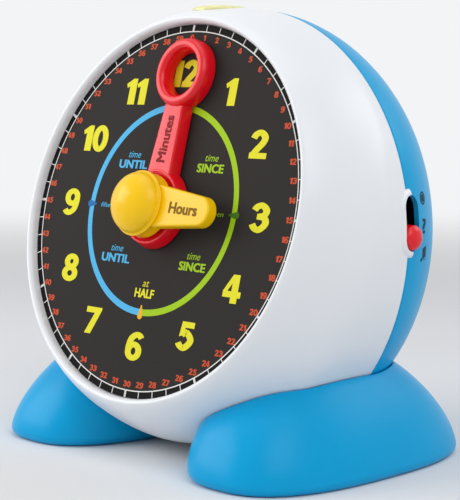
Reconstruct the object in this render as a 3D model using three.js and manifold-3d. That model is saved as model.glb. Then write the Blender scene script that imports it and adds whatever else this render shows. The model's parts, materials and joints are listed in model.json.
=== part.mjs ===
// A teaching clock for a classroom: a drum that leans back on two moulded feet, with an hour hand and a
// minute hand that are each turned by hand, a sliding mode switch at the side and a push button on top.
// Sizes are in millimetres and +Z is up. The dial faces -Y, and the origin is on the floor, midway
// between the feet and midway along them.
import * as THREE from "three";
import { mergeVertices } from "three/addons/utils/BufferGeometryUtils.js";
import Module from "manifold-3d";

const wasm = await Module();
wasm.setup();

// Stance of the drum
const dialHeight = 118.7; // middle of the dial above the floor
const dialSetForward = 46.9; // middle of the dial ahead of the middle of the feet
const dialLean = THREE.MathUtils.degToRad(14.4);
const seamSetback = 57.4; // the seam between the housings, behind the middle of the dial

// Clearances and cuts
const gap = 0.3; // between pieces that seat on each other
const slack = 0.6; // between a moving piece and what it passes
const overrun = 2; // what a cut runs past the face it opens
const weld = 1e-4; // corners nearer than this are one corner

// Drum shell
const wall = 2.5;
const lipRadius = 92.5; // crest of the lip round the dial
const lipRise = 4.6; // crest of the lip ahead of the dial
const lipFoot = 1.6; // where the lip starts to round, ahead of the dial
const bulgeRadius = 107.6;
const bulgeDepth = 35.5; // widest place of the drum, behind the dial
const bulgeRoundShare = 1.42; // exponent of the shoulder's curve
const narrowingShare = 0.155; // radius lost for each length behind the bulge
const rearDepth = 53; // dome of the rear housing, behind the seam
const rearRoundShare = 1.75; // exponent of the rear dome's curve
const rearFlatHalfHeight = 62; // flat back panel
const seamGroove = 0.4;
const tongueReach = 3;
const tongueWall = 1.6;

// Dial
const dialRadius = 89.9;
const dialThickness = 1;
const bearingRadius = 9;
const bearingLength = 14; // boss behind the dial that carries the shafts

// Feet
const footSpread = 66; // middle of each foot from the middle of the clock, at the floor
const footHalfWidth = 40.7;
const footHalfLength = 75.7;
const footHeight = 61; // the whole mound, most of which the drum cuts away
const footPlanShare = 2.63; // exponent of the foot's plan
const footDomeShare = 1.593; // exponent of the foot's rise
const footLeanShare = 0.137; // how far the mound leans to the drum, of its height
const footEdge = 4.4; // rounding of the bottom edge
const footLand = 2.4; // flat rim that the foot stands on
const footCoverThickness = 2;
const footCoverLift = 0.6;

// Minute hand
const minuteTurn = THREE.MathUtils.degToRad(3); // past the hour, where the hand is set
const minuteLift = 1; // back of the hand ahead of the dial
const minuteThickness = 6.6;
const minuteDraft = 2.2; // how much wider each side is at the back than at the front
const minuteHubRadius = 19.6; // at the back, as are the ring's two radii
const minuteArmRoot = 16.3;
const minuteArmTip = 11;
const ringCentre = 65;
const ringOuterRadius = 17.1;
const ringHoleRadius = 11.1;
const ringThickness = 8.9;
const nibReach = 83.3;
const nibWidth = 4.6;
const nibTip = 0.6;
const nibLift = 4.6; // back of the nib ahead of the dial
const nibThickness = 3;
const handEdge = 1.2;
const hubRim = 1.4;
const hubDish = 0.7;

// Hour hand
const hourThickness = 5.5;
const hourDraft = 0.3;
const hourReach = 48.3;
const hourArmRoot = 22.4;
const hourArmTip = 14.2;
const hourFootRise = 1.6; // foot of the knob, from the minute hand's front to the back of the arm
const knobRadius = 16;
const knobWaist = 14.6;
const knobDomeRadius = 14.6;
const knobRise = 13.4; // crown of the knob ahead of the back of the arm
const knobRimThickness = 1.3;

// Shafts and encoder
const hourShaftRadius = 3;
const minuteTubeRadius = 5;
const encoderRadius = 24;
const encoderThickness = 2;
const encoderHubRadius = 8;
const encoderHubHeight = 3.4;
const encoderNotches = 6;
const encoderNotchWidth = 3;
const encoderBoardRadius = 37;
const boardThickness = 1.6;
const encoderPostCircle = 31;
const encoderPostRadius = 3.4;
const clipRadius = 6;
const clipThickness = 1.2;

// Screws
const screwRadius = 1.5;
const screwHeadRadius = 3.2;
const screwHeadHeight = 2.2;
const screwLength = 12;
const smallScrewLength = 6;

// Seam screws, in deep wells of the rear housing
const seamScrewAngles = [50, 112, 248, 310].map(THREE.MathUtils.degToRad);
const seamScrewShare = 0.87; // of the seam's outline
const bossRadius = 5;
const bossLength = 30;
const bossProud = 1.7;
const wellRadius = 4;
const wellWall = 1.6;
const wellFloor = 3;
const webThickness = 2;

// Foot screws
const footScrewDrop = THREE.MathUtils.degToRad(133); // round the drum from its top
const footScrewOffset = 27; // ahead of the seam and behind it
const footBossRadius = 4.6;
const footBossLength = 9;
const footScrewInset = 6; // flat that the head bears on, inside the drum's skin

// Top button
const buttonSetback = 39.4; // behind the middle of the dial
const buttonCrown = 0.9; // above the drum's skin
const buttonRadius = 13.6;
const buttonDome = 1.6;
const buttonSkirt = 5.4;
const buttonWall = 1.6;
const buttonFlange = 1.2;
const buttonFlangeThickness = 1.6;
const buttonTravel = 2.2;
const buttonWellWall = 1.6;
const buttonWellDepth = 16;
const buttonEarReach = 20;
const buttonEarRadius = 4;
const springRadius = 10.6;
const springWire = 1;
const springTurns = 4.5;
const lampRadius = 2.5;
const lampHeight = 8;
const tactSize = 6;
const tactHeight = 5;
const plungerRadius = 2;

// Mode slider
const slotHalfWidth = 6.15;
const slotHalfHeight = 12.85;
const slotDrop = 3.5; // middle of the slot below the middle of the dial
const slotBehindSeam = 2.5;
const slotCollar = 2.6;
const slotCollarProud = 1.3;
const slotCollarWrap = 2.4; // how far the collar runs on behind the seam
const sliderTravel = 13;
const sliderKnobRadius = 5.75;
const sliderProud = 3;
const sliderPlateThickness = 2;
const sliderPlateHalfWidth = 6.8;
const sliderPlateHalfHeight = 16.5;
const sliderPlateInset = 9.3; // face of the plate inside the drum's side
const leverSize = 3;
const leverLength = 5;
const switchDepth = 6;
const switchHalfWidth = 5;
const switchHalfHeight = 13;
const modeBoardHalfWidth = 12;
const modeBoardHalfHeight = 23;
const modeShelfThickness = 2.4;

// Battery compartment
const cellRadius = 7.25;
const cellLength = 49.2;
const cellNubRadius = 2.75;
const cellNubLength = 1.3;
const cellCount = 3;
const cellPitch = 15.4;
const contactThickness = 0.5;
const contactRoom = 2.6; // from the end of a cell to the end wall of the box
const boxWall = 1.8;
const batteryDrop = 20.2; // middle of the compartment below the middle of the back panel
const doorThickness = 2.2;
const doorCorner = 5;
const doorBorder = 2; // door past the inside of the box, all round
const doorTabRadius = 5.5;
const doorTabReach = 1.5;
const doorFloorGap = 1; // between the door and the cells

// Speaker
const speakerLift = 39.1; // middle of the speaker above the middle of the back panel
const speakerRadius = 20;
const speakerFlange = 3;
const speakerFlangeThickness = 1.4;
const speakerDepth = 10;
const speakerNeckRadius = 10.5;
const magnetRadius = 10;
const magnetHeight = 7;
const coneThickness = 0.8;
const dustCapRadius = 5;
const grilleHoleRadius = 1.6;
const grillePitch = 6;
const grilleRings = 2;
const grilleFirstRing = 6; // holes in the first ring
const speakerCollarWall = 1.8;
const speakerCollarHeight = 6;

// Main circuit board
const mainBoardWidth = 56;
const mainBoardHeight = 40;
const mainPostHeight = 5;
const mainPostRadius = 3.2;
const chipSize = 14;
const chipHeight = 1.8;
const canRadius = 3;
const canHeight = 8;

// Facets
const drumSides = 40;
const footSides = 24;
const roundSides = 18;
const smallSides = 8;
const screwSides = 6;
const lipSteps = 3;
const bulgeSteps = 6;
const innerSteps = 4;
const innerStepShare = 1.5; // exponent that sets the steps closer where the shoulder curves most
const rearSteps = 6;
const footEdgeSteps = 2;
const footDomeSteps = 5;
const ringSteps = 6;
const ringSides = 24;
const knobSteps = 5;
const capSteps = 3;
const skinPasses = 12; // rounds until a point of the leaning skin settles
const wireSides = 5;
const springSteps = 8; // a turn

// Colours and surfaces
const white = { color: 0xedeff2, roughness: 0.3, metalness: 0 };
const blue = { color: 0x1c9bd9, roughness: 0.35, metalness: 0 };
const charcoal = { color: 0x3a3634, roughness: 0.55, metalness: 0 };
const red = { color: 0xe0252f, roughness: 0.35, metalness: 0 };
const yellow = { color: 0xffd426, roughness: 0.35, metalness: 0 };
const paleYellow = { color: 0xfaf3a0, roughness: 0.3, metalness: 0, transparent: true, opacity: 0.8 };
const black = { color: 0x1c1c1e, roughness: 0.6, metalness: 0 };
const steel = { color: 0xb8bcc2, roughness: 0.35, metalness: 1 };
const board = { color: 0x1f6b3a, roughness: 0.5, metalness: 0 };
const paper = { color: 0x2a2a2c, roughness: 0.85, metalness: 0 };
const cellJacket = { color: 0x4a5560, roughness: 0.4, metalness: 0.3 };
const natural = { color: 0xdcdcd4, roughness: 0.5, metalness: 0 };
const lens = { color: 0xf5f7ff, roughness: 0.2, metalness: 0 };

// Turns a closed geometry into a solid that can be joined and cut. A profile may be given in either
// direction: a solid that comes out inside out is turned round.
function solidOf(geometry) {
  const bare = geometry.clone();
  bare.deleteAttribute("normal");
  bare.deleteAttribute("uv");
  const merged = mergeVertices(bare, weld);
  const { array } = merged.index;
  const corners = [];
  for (let i = 0; i < array.length; i += 3) {
    const [a, b, c] = array.slice(i, i + 3);
    if (a !== b && b !== c && c !== a) corners.push([a, b, c]);
  }
  const made = (faces) => {
    const triVerts = new Uint32Array(faces.flat());
    const vertProperties = merged.attributes.position.array;
    return new wasm.Manifold(new wasm.Mesh({ numProp: 3, vertProperties, triVerts }));
  };
  const solid = made(corners);
  return solid.volume() > 0 ? solid : made(corners.map(([a, b, c]) => [a, c, b]));
}

function geometryOf(solid) {
  const { vertProperties, triVerts } = solid.getMesh();
  const geometry = new THREE.BufferGeometry();
  geometry.setAttribute("position", new THREE.BufferAttribute(vertProperties, 3));
  geometry.setIndex(new THREE.BufferAttribute(triVerts, 1));
  const flat = geometry.toNonIndexed();
  flat.computeVertexNormals();
  return flat;
}

// A solid turned about +Z from a profile of [radius, height] points.
function turned(profile, sides, matrix = new THREE.Matrix4()) {
  const points = profile.map(([radius, height]) => new THREE.Vector2(radius, height));
  const geometry = new THREE.LatheGeometry(points, sides);
  return solidOf(geometry.rotateX(Math.PI / 2).applyMatrix4(matrix));
}

// A round bar from one point to another.
function rod(from, to, radius, sides = smallSides) {
  const start = new THREE.Vector3(...from);
  const along = new THREE.Vector3(...to).sub(start);
  const geometry = new THREE.CylinderGeometry(radius, radius, along.length(), sides);
  const up = new THREE.Vector3(0, 1, 0);
  const turn = new THREE.Quaternion().setFromUnitVectors(up, along.clone().normalize());
  const middle = start.addScaledVector(along, 0.5);
  return solidOf(geometry.applyQuaternion(turn).translate(middle.x, middle.y, middle.z));
}

// A hole that a screw's shank passes or bites into.
function screwHole(from, to) {
  return rod(from, to, screwRadius + gap, screwSides);
}

// A block between two opposite corners.
function block(low, high) {
  const size = high.map((value, i) => value - low[i]);
  const middle = high.map((value, i) => (value + low[i]) / 2);
  return solidOf(new THREE.BoxGeometry(...size).translate(...middle));
}

// A flat outline pushed up along +Z from one height to another.
function plate(shape, low, high, curveSegments = smallSides) {
  const depth = high - low;
  const geometry = new THREE.ExtrudeGeometry(shape, { depth, bevelEnabled: false, curveSegments });
  return solidOf(geometry.translate(0, 0, low));
}

// A solid through rings of points, closed with a fan at each end.
function lofted(rings) {
  const count = rings[0].length;
  const points = rings.flat();
  const faces = [];
  for (let ring = 0; ring + 1 < rings.length; ring += 1) {
    for (let i = 0; i < count; i += 1) {
      const a = ring * count + i;
      const b = ring * count + ((i + 1) % count);
      faces.push(a, b, a + count, b, b + count, a + count);
    }
  }
  const cap = (first, flip) => {
    const middle = new THREE.Vector3();
    for (let i = 0; i < count; i += 1) middle.addScaledVector(points[first + i], 1 / count);
    points.push(middle);
    for (let i = 0; i < count; i += 1) {
      const pair = [first + i, first + ((i + 1) % count)];
      faces.push(points.length - 1, ...(flip ? pair.reverse() : pair));
    }
  };
  cap(0, true);
  cap((rings.length - 1) * count, false);
  const geometry = new THREE.BufferGeometry().setFromPoints(points);
  geometry.setIndex(faces);
  return solidOf(geometry);
}

function joined(first, ...others) {
  return others.reduce((sum, solid) => sum.add(solid), first);
}

function cut(first, ...others) {
  return others.reduce((rest, solid) => rest.subtract(solid), first);
}

// A screw along +Z: its head stands on the plane z = 0 and its shank runs down.
function screwSolid(length = screwLength) {
  const profile = [
    [0, -length],
    [screwRadius, -length],
    [screwRadius, 0],
    [screwHeadRadius, 0],
    [screwHeadRadius, screwHeadHeight],
    [0, screwHeadHeight],
  ];
  return turned(profile, screwSides);
}

// The frames: the whole clock, and the dial's own, whose z points out of the dial and y up it.
const clock = new THREE.Group();
const dialFrame = new THREE.Group();
dialFrame.position.set(0, -dialSetForward, dialHeight);
dialFrame.rotation.x = Math.PI / 2 - dialLean;
dialFrame.updateMatrix();
clock.add(dialFrame);
const seamY = seamSetback - dialSetForward;

function piece(name, solid, finish, parent = clock) {
  const mesh = new THREE.Mesh(geometryOf(solid), new THREE.MeshStandardMaterial(finish));
  mesh.name = name;
  parent.add(mesh);
  return mesh;
}

// Radius of the drum at a depth behind the dial: a round shoulder out to the bulge, then a slow narrowing.
function drumRadius(depth) {
  const travel = THREE.MathUtils.clamp((depth + lipRise) / (bulgeDepth + lipRise), 0, 1);
  const swell = (1 - (1 - travel) ** bulgeRoundShare) ** (1 / bulgeRoundShare);
  return lipRadius + (bulgeRadius - lipRadius) * swell - narrowingShare * Math.max(depth - bulgeDepth, 0);
}

const reach = dialHeight + bulgeRadius; // past everything
const drumTail = (seamSetback + bulgeRadius * Math.sin(dialLean)) / Math.cos(dialLean) + overrun;
const recessRadius = dialRadius + gap;
const recessFloor = -dialThickness - gap;

// Profile from the crest of the lip to the tail, moved outwards by a given amount.
function drumSide(outset) {
  const points = [];
  for (let step = 0; step <= bulgeSteps; step += 1) {
    const depth = -lipRise + (bulgeDepth + lipRise) * (step / bulgeSteps) ** 2;
    points.push([drumRadius(depth) + outset, outset - depth]);
  }
  points.push([drumRadius(drumTail) + outset, -drumTail]);
  return points;
}

// The point of the drum's skin at a setback behind the dial and an angle round the drum from its top.
function skinPoint(setback, angle, outset = 0) {
  let depth = setback;
  for (let pass = 0; pass < skinPasses; pass += 1) {
    const rise = (drumRadius(depth) + outset) * Math.cos(angle);
    depth = (setback - rise * Math.sin(dialLean)) / Math.cos(dialLean);
  }
  const radius = drumRadius(depth) + outset;
  const rise = radius * Math.cos(angle);
  const x = radius * Math.sin(angle);
  const z = dialHeight + rise * Math.cos(dialLean) - depth * Math.sin(dialLean);
  return new THREE.Vector2(x, z);
}

// Middle of the seam's outline, from its top and its bottom, and the back panel's share of that outline.
const seamTop = skinPoint(seamSetback, 0).y;
const seamMiddle = (seamTop + skinPoint(seamSetback, Math.PI).y) / 2;
const rearFlatShare = rearFlatHalfHeight / (seamTop - seamMiddle);

function seamRing(outset, y, scale = 1) {
  const ring = [];
  for (let i = 0; i < drumSides; i += 1) {
    const point = skinPoint(seamSetback, (i / drumSides) * 2 * Math.PI, outset);
    ring.push(new THREE.Vector3(point.x * scale, y, seamMiddle + (point.y - seamMiddle) * scale));
  }
  return ring;
}

// Rear dome: the seam's outline shrinks to the flat back along a rounded curve.
function rearScale(depth) {
  const share = THREE.MathUtils.clamp(depth / rearDepth, 0, 1);
  const curve = (1 - share ** rearRoundShare) ** (1 / rearRoundShare);
  return rearFlatShare + (1 - rearFlatShare) * curve;
}

function rearDome(outset, start, steps = rearSteps) {
  const rings = [seamRing(outset, start)];
  for (let step = 0; step <= steps; step += 1) {
    const turn = (step / steps) * (Math.PI / 2);
    const curve = Math.cos(turn) ** (2 / rearRoundShare);
    const scale = rearFlatShare + (1 - rearFlatShare) * curve;
    const depth = (rearDepth + outset) * Math.sin(turn) ** (2 / rearRoundShare);
    rings.push(seamRing(outset, seamY + seamGroove / 2 + depth, scale));
  }
  return lofted(rings);
}

// The whole drum as one solid, moved outwards, for cutting what hugs it.
function drumSolid(outset) {
  const front = turned([[0, outset + lipRise], ...drumSide(outset), [0, -drumTail]], drumSides,
    dialFrame.matrix);
  const behind = block([-reach, seamY, -reach], [reach, seamY + reach, 2 * reach]);
  return joined(cut(front, behind), rearDome(outset, seamY - overrun));
}

// A point inside the drum on the line to its skin, used for bosses along the seam.
function seamPlace(angle, share) {
  const skin = skinPoint(seamSetback, angle);
  return new THREE.Vector2(skin.x * share, seamMiddle + (skin.y - seamMiddle) * share);
}

// A foot screw stands square to the drum's skin: the line it follows, from the skin inwards.
function footScrewLine(side, setback) {
  const behind = Math.max(setback - seamSetback, 0);
  const skin = skinPoint(Math.min(setback, seamSetback), footScrewDrop);
  const scale = rearScale(behind);
  const at = new THREE.Vector3(side * skin.x * scale, setback - dialSetForward,
    seamMiddle + (skin.y - seamMiddle) * scale);
  const inward = new THREE.Vector3(-at.x, 0, seamMiddle - at.z).normalize();
  return { at, inward };
}

function alongLine({ at, inward }, distance) {
  return at.clone().addScaledVector(inward, distance).toArray();
}

// Room for the head of a foot screw over its pad.
function footScrewRoom(line) {
  const end = footScrewInset + gap + screwHeadHeight + gap;
  return rod(alongLine(line, footScrewInset), alongLine(line, end), screwHeadRadius + gap);
}

const footScrewLines = [];
for (const side of [-1, 1]) {
  for (const direction of [-1, 1]) {
    const line = footScrewLine(side, seamSetback + direction * footScrewOffset);
    footScrewLines.push({ side, direction, line });
  }
}

// Button well: its places are worked out from the button's crown.
const buttonY = buttonSetback - dialSetForward;
const buttonTop = skinPoint(buttonSetback, 0).y + buttonCrown;
const buttonEdge = buttonTop - buttonDome;
const buttonLedge = buttonEdge - buttonSkirt;
const buttonBoardTop = buttonLedge - buttonWellDepth;
const buttonWellRadius = buttonRadius + buttonFlange + gap;

function upright(radius, low, high, sides = roundSides) {
  return rod([0, buttonY, low], [0, buttonY, high], radius, sides);
}

// Mode slot: an upright slot with round ends, through the side of the drum at the seam.
const slotY = seamY + slotBehindSeam;
const slotZ = dialHeight - slotDrop;
const sideX = skinPoint(seamSetback, Math.PI / 2).x;

function slotSolid(grow, lowX, highX) {
  const halfWidth = slotHalfWidth + grow;
  const straight = slotHalfHeight + grow - halfWidth;
  const shape = new THREE.Shape();
  shape.absarc(0, straight, halfWidth, 0, Math.PI, false);
  shape.absarc(0, -straight, halfWidth, Math.PI, 2 * Math.PI, false);
  const depth = highX - lowX;
  const curveSegments = smallSides / 2;
  const geometry = new THREE.ExtrudeGeometry(shape, { depth, bevelEnabled: false, curveSegments });
  const turn = new THREE.Matrix4().makeBasis(
    new THREE.Vector3(0, 1, 0),
    new THREE.Vector3(0, 0, 1),
    new THREE.Vector3(1, 0, 0),
  );
  return solidOf(geometry.applyMatrix4(turn).translate(lowX, slotY, slotZ));
}

// Mode switch stack, from the drum's side inwards.
const plateFace = sideX - sliderPlateInset;
const plateBack = plateFace - sliderPlateThickness;
const switchFace = plateBack - gap;
const modeBoardX = switchFace - switchDepth - gap - boardThickness;

// Encoder stack, from the bearing back.
const encoderPlaces = [0, 1, 2].map((i) => {
  const angle = (i / 3) * 2 * Math.PI;
  return [encoderPostCircle * Math.sin(angle), encoderPostCircle * Math.cos(angle)];
});
const minuteDiscFront = -bearingLength - slack;
const minuteDiscBack = minuteDiscFront - encoderThickness;
const encoderBoardFront = minuteDiscFront - encoderHubHeight - slack;
const encoderBoardBack = encoderBoardFront - boardThickness;
const hourDiscFront = encoderBoardBack - slack;
const hourDiscBack = hourDiscFront - encoderHubHeight;
const clipFront = hourDiscBack - gap;
const clipBack = clipFront - clipThickness;
const shaftEnd = clipBack - slack;
const minuteFront = minuteLift + minuteThickness;
const hourFoot = minuteFront + slack;
const hourBack = hourFoot + hourFootRise;
const tubeFront = minuteFront - minuteThickness / 2;
const hourShaftFront = hourBack + knobRise / 2;

// Front housing
const rearInnerY = seamY + seamGroove / 2 + rearDepth - wall;

// The hollow of the drum's front, drawn in by a clearance.
function frontHollow(clearance) {
  const innerFloor = recessFloor - wall - clearance;
  const inside = [[0, innerFloor]];
  for (let step = 0; step <= innerSteps; step += 1) {
    const share = (step / innerSteps) ** innerStepShare;
    const depth = -innerFloor + (bulgeDepth + innerFloor) * share;
    inside.push([drumRadius(depth - wall * (1 - share)) - wall - clearance, -depth]);
  }
  inside.push([drumRadius(drumTail) - wall - clearance, -drumTail - overrun], [0, -drumTail - overrun]);
  return turned(inside, drumSides, dialFrame.matrix);
}

// The recess of the dial and the rounded lip round it.
function bezelProfile() {
  const bezel = [
    [0, recessFloor],
    [recessRadius, recessFloor],
    [recessRadius, lipFoot],
  ];
  for (let step = 1; step < lipSteps; step += 1) {
    const turn = (step / lipSteps) * (Math.PI / 2);
    bezel.push([
      lipRadius - (lipRadius - recessRadius) * Math.cos(turn),
      lipFoot + (lipRise - lipFoot) * Math.sin(turn),
    ]);
  }
  return bezel;
}

// A round bar on the dial's axis, from one height to another.
function onDialAxis(radius, high, low) {
  const profile = [
    [0, high],
    [radius, high],
    [radius, low],
    [0, low],
  ];
  return turned(profile, roundSides, dialFrame.matrix);
}

function withEncoderPosts(shell) {
  let made = shell;
  for (const [x, y] of encoderPlaces) {
    const at = (height) => new THREE.Vector3(x, y, height).applyMatrix4(dialFrame.matrix).toArray();
    const post = rod(at(recessFloor - wall / 2), at(encoderBoardFront + gap), encoderPostRadius);
    const pilot = screwHole(at(encoderBoardFront + smallScrewLength), at(encoderBoardFront - overrun));
    made = cut(joined(made, post), pilot);
  }
  return made;
}

// The bosses that take the seam screws, each tied to the drum's skin by a web.
function withSeamBosses(shell, outer) {
  let made = shell;
  for (const angle of seamScrewAngles) {
    const at = seamPlace(angle, seamScrewShare);
    const skin = seamPlace(angle, 1);
    const post = rod([at.x, seamY - bossLength, at.y], [at.x, seamY + bossProud, at.y], bossRadius);
    const span = skin.clone().sub(at);
    const web = new THREE.BoxGeometry(span.length(), bossLength, webThickness);
    web.rotateY(-Math.atan2(span.y, span.x));
    const middle = at.clone().addScaledVector(span, 0.5);
    web.translate(middle.x, seamY - tongueReach - gap - bossLength / 2, middle.y);
    const pilotEnd = seamY + bossProud;
    const pilot = screwHole([at.x, pilotEnd - screwLength, at.y], [at.x, pilotEnd + overrun, at.y]);
    made = cut(joined(made, post.intersect(outer), solidOf(web).intersect(outer)), pilot);
  }
  return made;
}

// The well of the button, with an ear at each side for the screws of its board.
function withButtonWell(shell, outer, behind) {
  const bore = upright(buttonWellRadius, buttonBoardTop - overrun, buttonLedge);
  const well = cut(upright(buttonWellRadius + buttonWellWall, buttonBoardTop + gap, buttonTop), bore);
  let made = cut(joined(shell, cut(well.intersect(outer), behind)), bore);
  for (const side of [-1, 1]) {
    const x = side * buttonEarReach;
    const ear = rod([x, buttonY, buttonBoardTop + gap], [x, buttonY, buttonLedge], buttonEarRadius);
    const pilotTop = buttonBoardTop + smallScrewLength;
    const pilot = screwHole([x, buttonY, buttonBoardTop - overrun], [x, buttonY, pilotTop]);
    made = cut(joined(made, cut(ear, bore)), pilot);
  }
  return cut(made, upright(buttonRadius + gap, buttonLedge - overrun, buttonTop + overrun));
}

// Pads for the foot screws, ahead of the seam (-1) or behind it (1).
function withFootPads(shell, outer, wanted) {
  let made = shell;
  for (const { line } of footScrewLines.filter(({ direction }) => direction === wanted)) {
    const pad = rod(alongLine(line, footScrewInset), alongLine(line, 0), footBossRadius);
    const hole = screwHole(alongLine(line, footScrewInset + overrun), alongLine(line, -overrun));
    made = cut(joined(made, pad.intersect(outer)), hole, footScrewRoom(line));
  }
  return made;
}

// The mode slot with its raised collar, and the two shelves that hold the mode board.
function withModeSlot(shell, outer) {
  const collarLow = [sideX - wall, seamY - reach, slotZ - reach];
  const collarHigh = [sideX + reach, seamY + slotCollarWrap, slotZ + reach];
  const collarBlock = block(collarLow, collarHigh);
  const collar = slotSolid(slotCollar, sideX - wall, sideX + slotCollarProud).intersect(collarBlock);
  const slot = slotSolid(0, sideX - 2 * sliderPlateInset, sideX + reach);
  let made = cut(joined(shell, collar), slot);
  for (const side of [-1, 1]) {
    const z = slotZ + side * (modeBoardHalfHeight + gap + modeShelfThickness / 2);
    const half = modeShelfThickness / 2;
    const shelfLow = [modeBoardX - modeShelfThickness, seamY - 2 * modeBoardHalfWidth, z - half];
    const shelf = block(shelfLow, [sideX + wall, seamY - tongueReach - gap, z + half]);
    made = joined(made, shelf.intersect(outer));
  }
  return made;
}

function frontHousing() {
  const profile = [...bezelProfile(), ...drumSide(0), [0, -drumTail]];
  const outer = turned(profile, drumSides, dialFrame.matrix);
  const seamEnd = seamY - seamGroove / 2;
  const behind = block([-reach, seamEnd, -reach], [reach, seamEnd + reach, 2 * reach]);
  const bearing = onDialAxis(bearingRadius, recessFloor - wall / 2, -bearingLength);
  let shell = joined(cut(cut(outer, frontHollow(0)), behind), bearing);
  shell = withSeamBosses(withEncoderPosts(shell), outer);
  shell = withButtonWell(shell, outer, behind);
  shell = cut(shell, onDialAxis(minuteTubeRadius + gap, overrun, -bearingLength - overrun));
  shell = withFootPads(shell, outer, -1);
  return withModeSlot(shell, outer);
}

// Rear housing
const backFace = seamY + seamGroove / 2 + rearDepth;
const doorInsideY = backFace - doorThickness;
const doorSeatY = rearInnerY - gap;
const batteryZ = seamMiddle - batteryDrop;
const boxHalfWidth = cellLength / 2 + cellNubLength / 2 + contactRoom + gap;
const boxHalfHeight = (cellCount * cellPitch) / 2 + gap;
const doorHalfWidth = boxHalfWidth + boxWall + doorBorder;
const doorHalfHeight = boxHalfHeight + boxWall + doorBorder;
const doorTabZ = doorHalfHeight + doorTabReach;
const speakerZ = seamMiddle + speakerLift;

// A flat outline drawn in the back's own plane and pushed along +Y.
const facingBack = new THREE.Matrix4().makeBasis(
  new THREE.Vector3(-1, 0, 0),
  new THREE.Vector3(0, 0, 1),
  new THREE.Vector3(0, 1, 0),
);

function backPlate(shape, lowY, highY, z) {
  const depth = highY - lowY;
  const curveSegments = smallSides / 2;
  const geometry = new THREE.ExtrudeGeometry(shape, { depth, bevelEnabled: false, curveSegments });
  return solidOf(geometry.applyMatrix4(facingBack).translate(0, lowY, z));
}

// The battery door: a rounded rectangle with a round tab at its top for the screw.
function doorShape(grow) {
  const x = doorHalfWidth + grow;
  const z = doorHalfHeight + grow;
  const corner = doorCorner + grow;
  const tab = doorTabRadius + grow;
  const shape = new THREE.Shape();
  shape.moveTo(-x + corner, -z);
  shape.lineTo(x - corner, -z);
  shape.absarc(x - corner, -z + corner, corner, -Math.PI / 2, 0, false);
  shape.absarc(x - corner, z - corner, corner, 0, Math.PI / 2, false);
  shape.lineTo(tab, z);
  shape.absarc(0, doorTabZ, tab, 0, Math.PI, false);
  shape.lineTo(-tab, z);
  shape.absarc(-x + corner, z - corner, corner, Math.PI / 2, Math.PI, false);
  shape.absarc(-x + corner, -z + corner, corner, Math.PI, 1.5 * Math.PI, false);
  return shape;
}

function speakerHoles() {
  const holes = [[0, 0]];
  for (let ring = 1; ring <= grilleRings; ring += 1) {
    for (let i = 0; i < grilleFirstRing * ring; i += 1) {
      const angle = (i / (grilleFirstRing * ring)) * 2 * Math.PI;
      holes.push([ring * grillePitch * Math.cos(angle), ring * grillePitch * Math.sin(angle)]);
    }
  }
  return holes.map(([x, z]) =>
    rod([x, rearInnerY - overrun, speakerZ + z], [x, backFace + overrun, speakerZ + z], grilleHoleRadius,
      screwSides));
}

function backTube(x, z, outerRadius, innerRadius, lowY, highY, sides = smallSides) {
  const outer = rod([x, lowY, z], [x, highY, z], outerRadius, sides);
  return cut(outer, rod([x, lowY - overrun, z], [x, highY + overrun, z], innerRadius, sides));
}

function rearHousing() {
  const outer = rearDome(0, seamY + seamGroove / 2);
  const hollow = rearDome(-wall, seamY - overrun, innerSteps);
  const rootReach = seamY + tongueReach + gap;
  let shell = cut(outer, hollow);
  const tongueSkin = -wall - 2 * gap;
  const tongue = cut(
    lofted([
      seamRing(tongueSkin, seamY - tongueReach),
      seamRing(tongueSkin, seamY),
      seamRing(-wall / 2, seamY + seamGroove),
      seamRing(-wall / 2, rootReach),
    ]),
    lofted([seamRing(tongueSkin - tongueWall, seamY - tongueReach - overrun),
      seamRing(tongueSkin - tongueWall, rootReach + overrun)]),
    upright(buttonWellRadius + buttonWellWall + gap, buttonBoardTop, buttonTop),
  );
  const ahead = block([-reach, seamY - reach, -reach], [reach, seamY, 2 * reach]);
  shell = joined(shell, cut(tongue, cut(ahead, frontHollow(gap))));
  for (const angle of seamScrewAngles) {
    const at = seamPlace(angle, seamScrewShare);
    const floor = seamY + bossProud + gap;
    const tube = rod([at.x, floor, at.y], [at.x, backFace, at.y], wellRadius + wellWall);
    const well = rod([at.x, floor + wellFloor, at.y], [at.x, backFace + overrun, at.y], wellRadius);
    const hole = screwHole([at.x, floor - overrun, at.y], [at.x, backFace, at.y]);
    shell = cut(joined(shell, tube.intersect(outer)), well, hole);
  }
  shell = cut(shell, backPlate(doorShape(gap), rearInnerY - overrun, backFace + overrun, batteryZ));
  shell = joined(shell, backTube(0, speakerZ, speakerRadius + gap + speakerCollarWall, speakerRadius + gap,
    rearInnerY - speakerCollarHeight, rearInnerY + wall / 2, roundSides));
  shell = cut(shell, ...speakerHoles());
  shell = withFootPads(shell, outer, 1);
  const collarRoom = block([sideX - 2 * wall, seamY - reach, slotZ - reach],
    [sideX + reach, seamY + slotCollarWrap + gap, slotZ + reach]);
  const room = slotSolid(slotCollar + gap, sideX - 2 * sliderPlateInset, sideX + reach).intersect(collarRoom);
  const slot = slotSolid(0, sideX - 2 * sliderPlateInset, sideX + reach);
  return cut(shell, room, slot);
}

piece("front_housing", frontHousing(), white);
piece("rear_housing", rearHousing(), blue);

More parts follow.
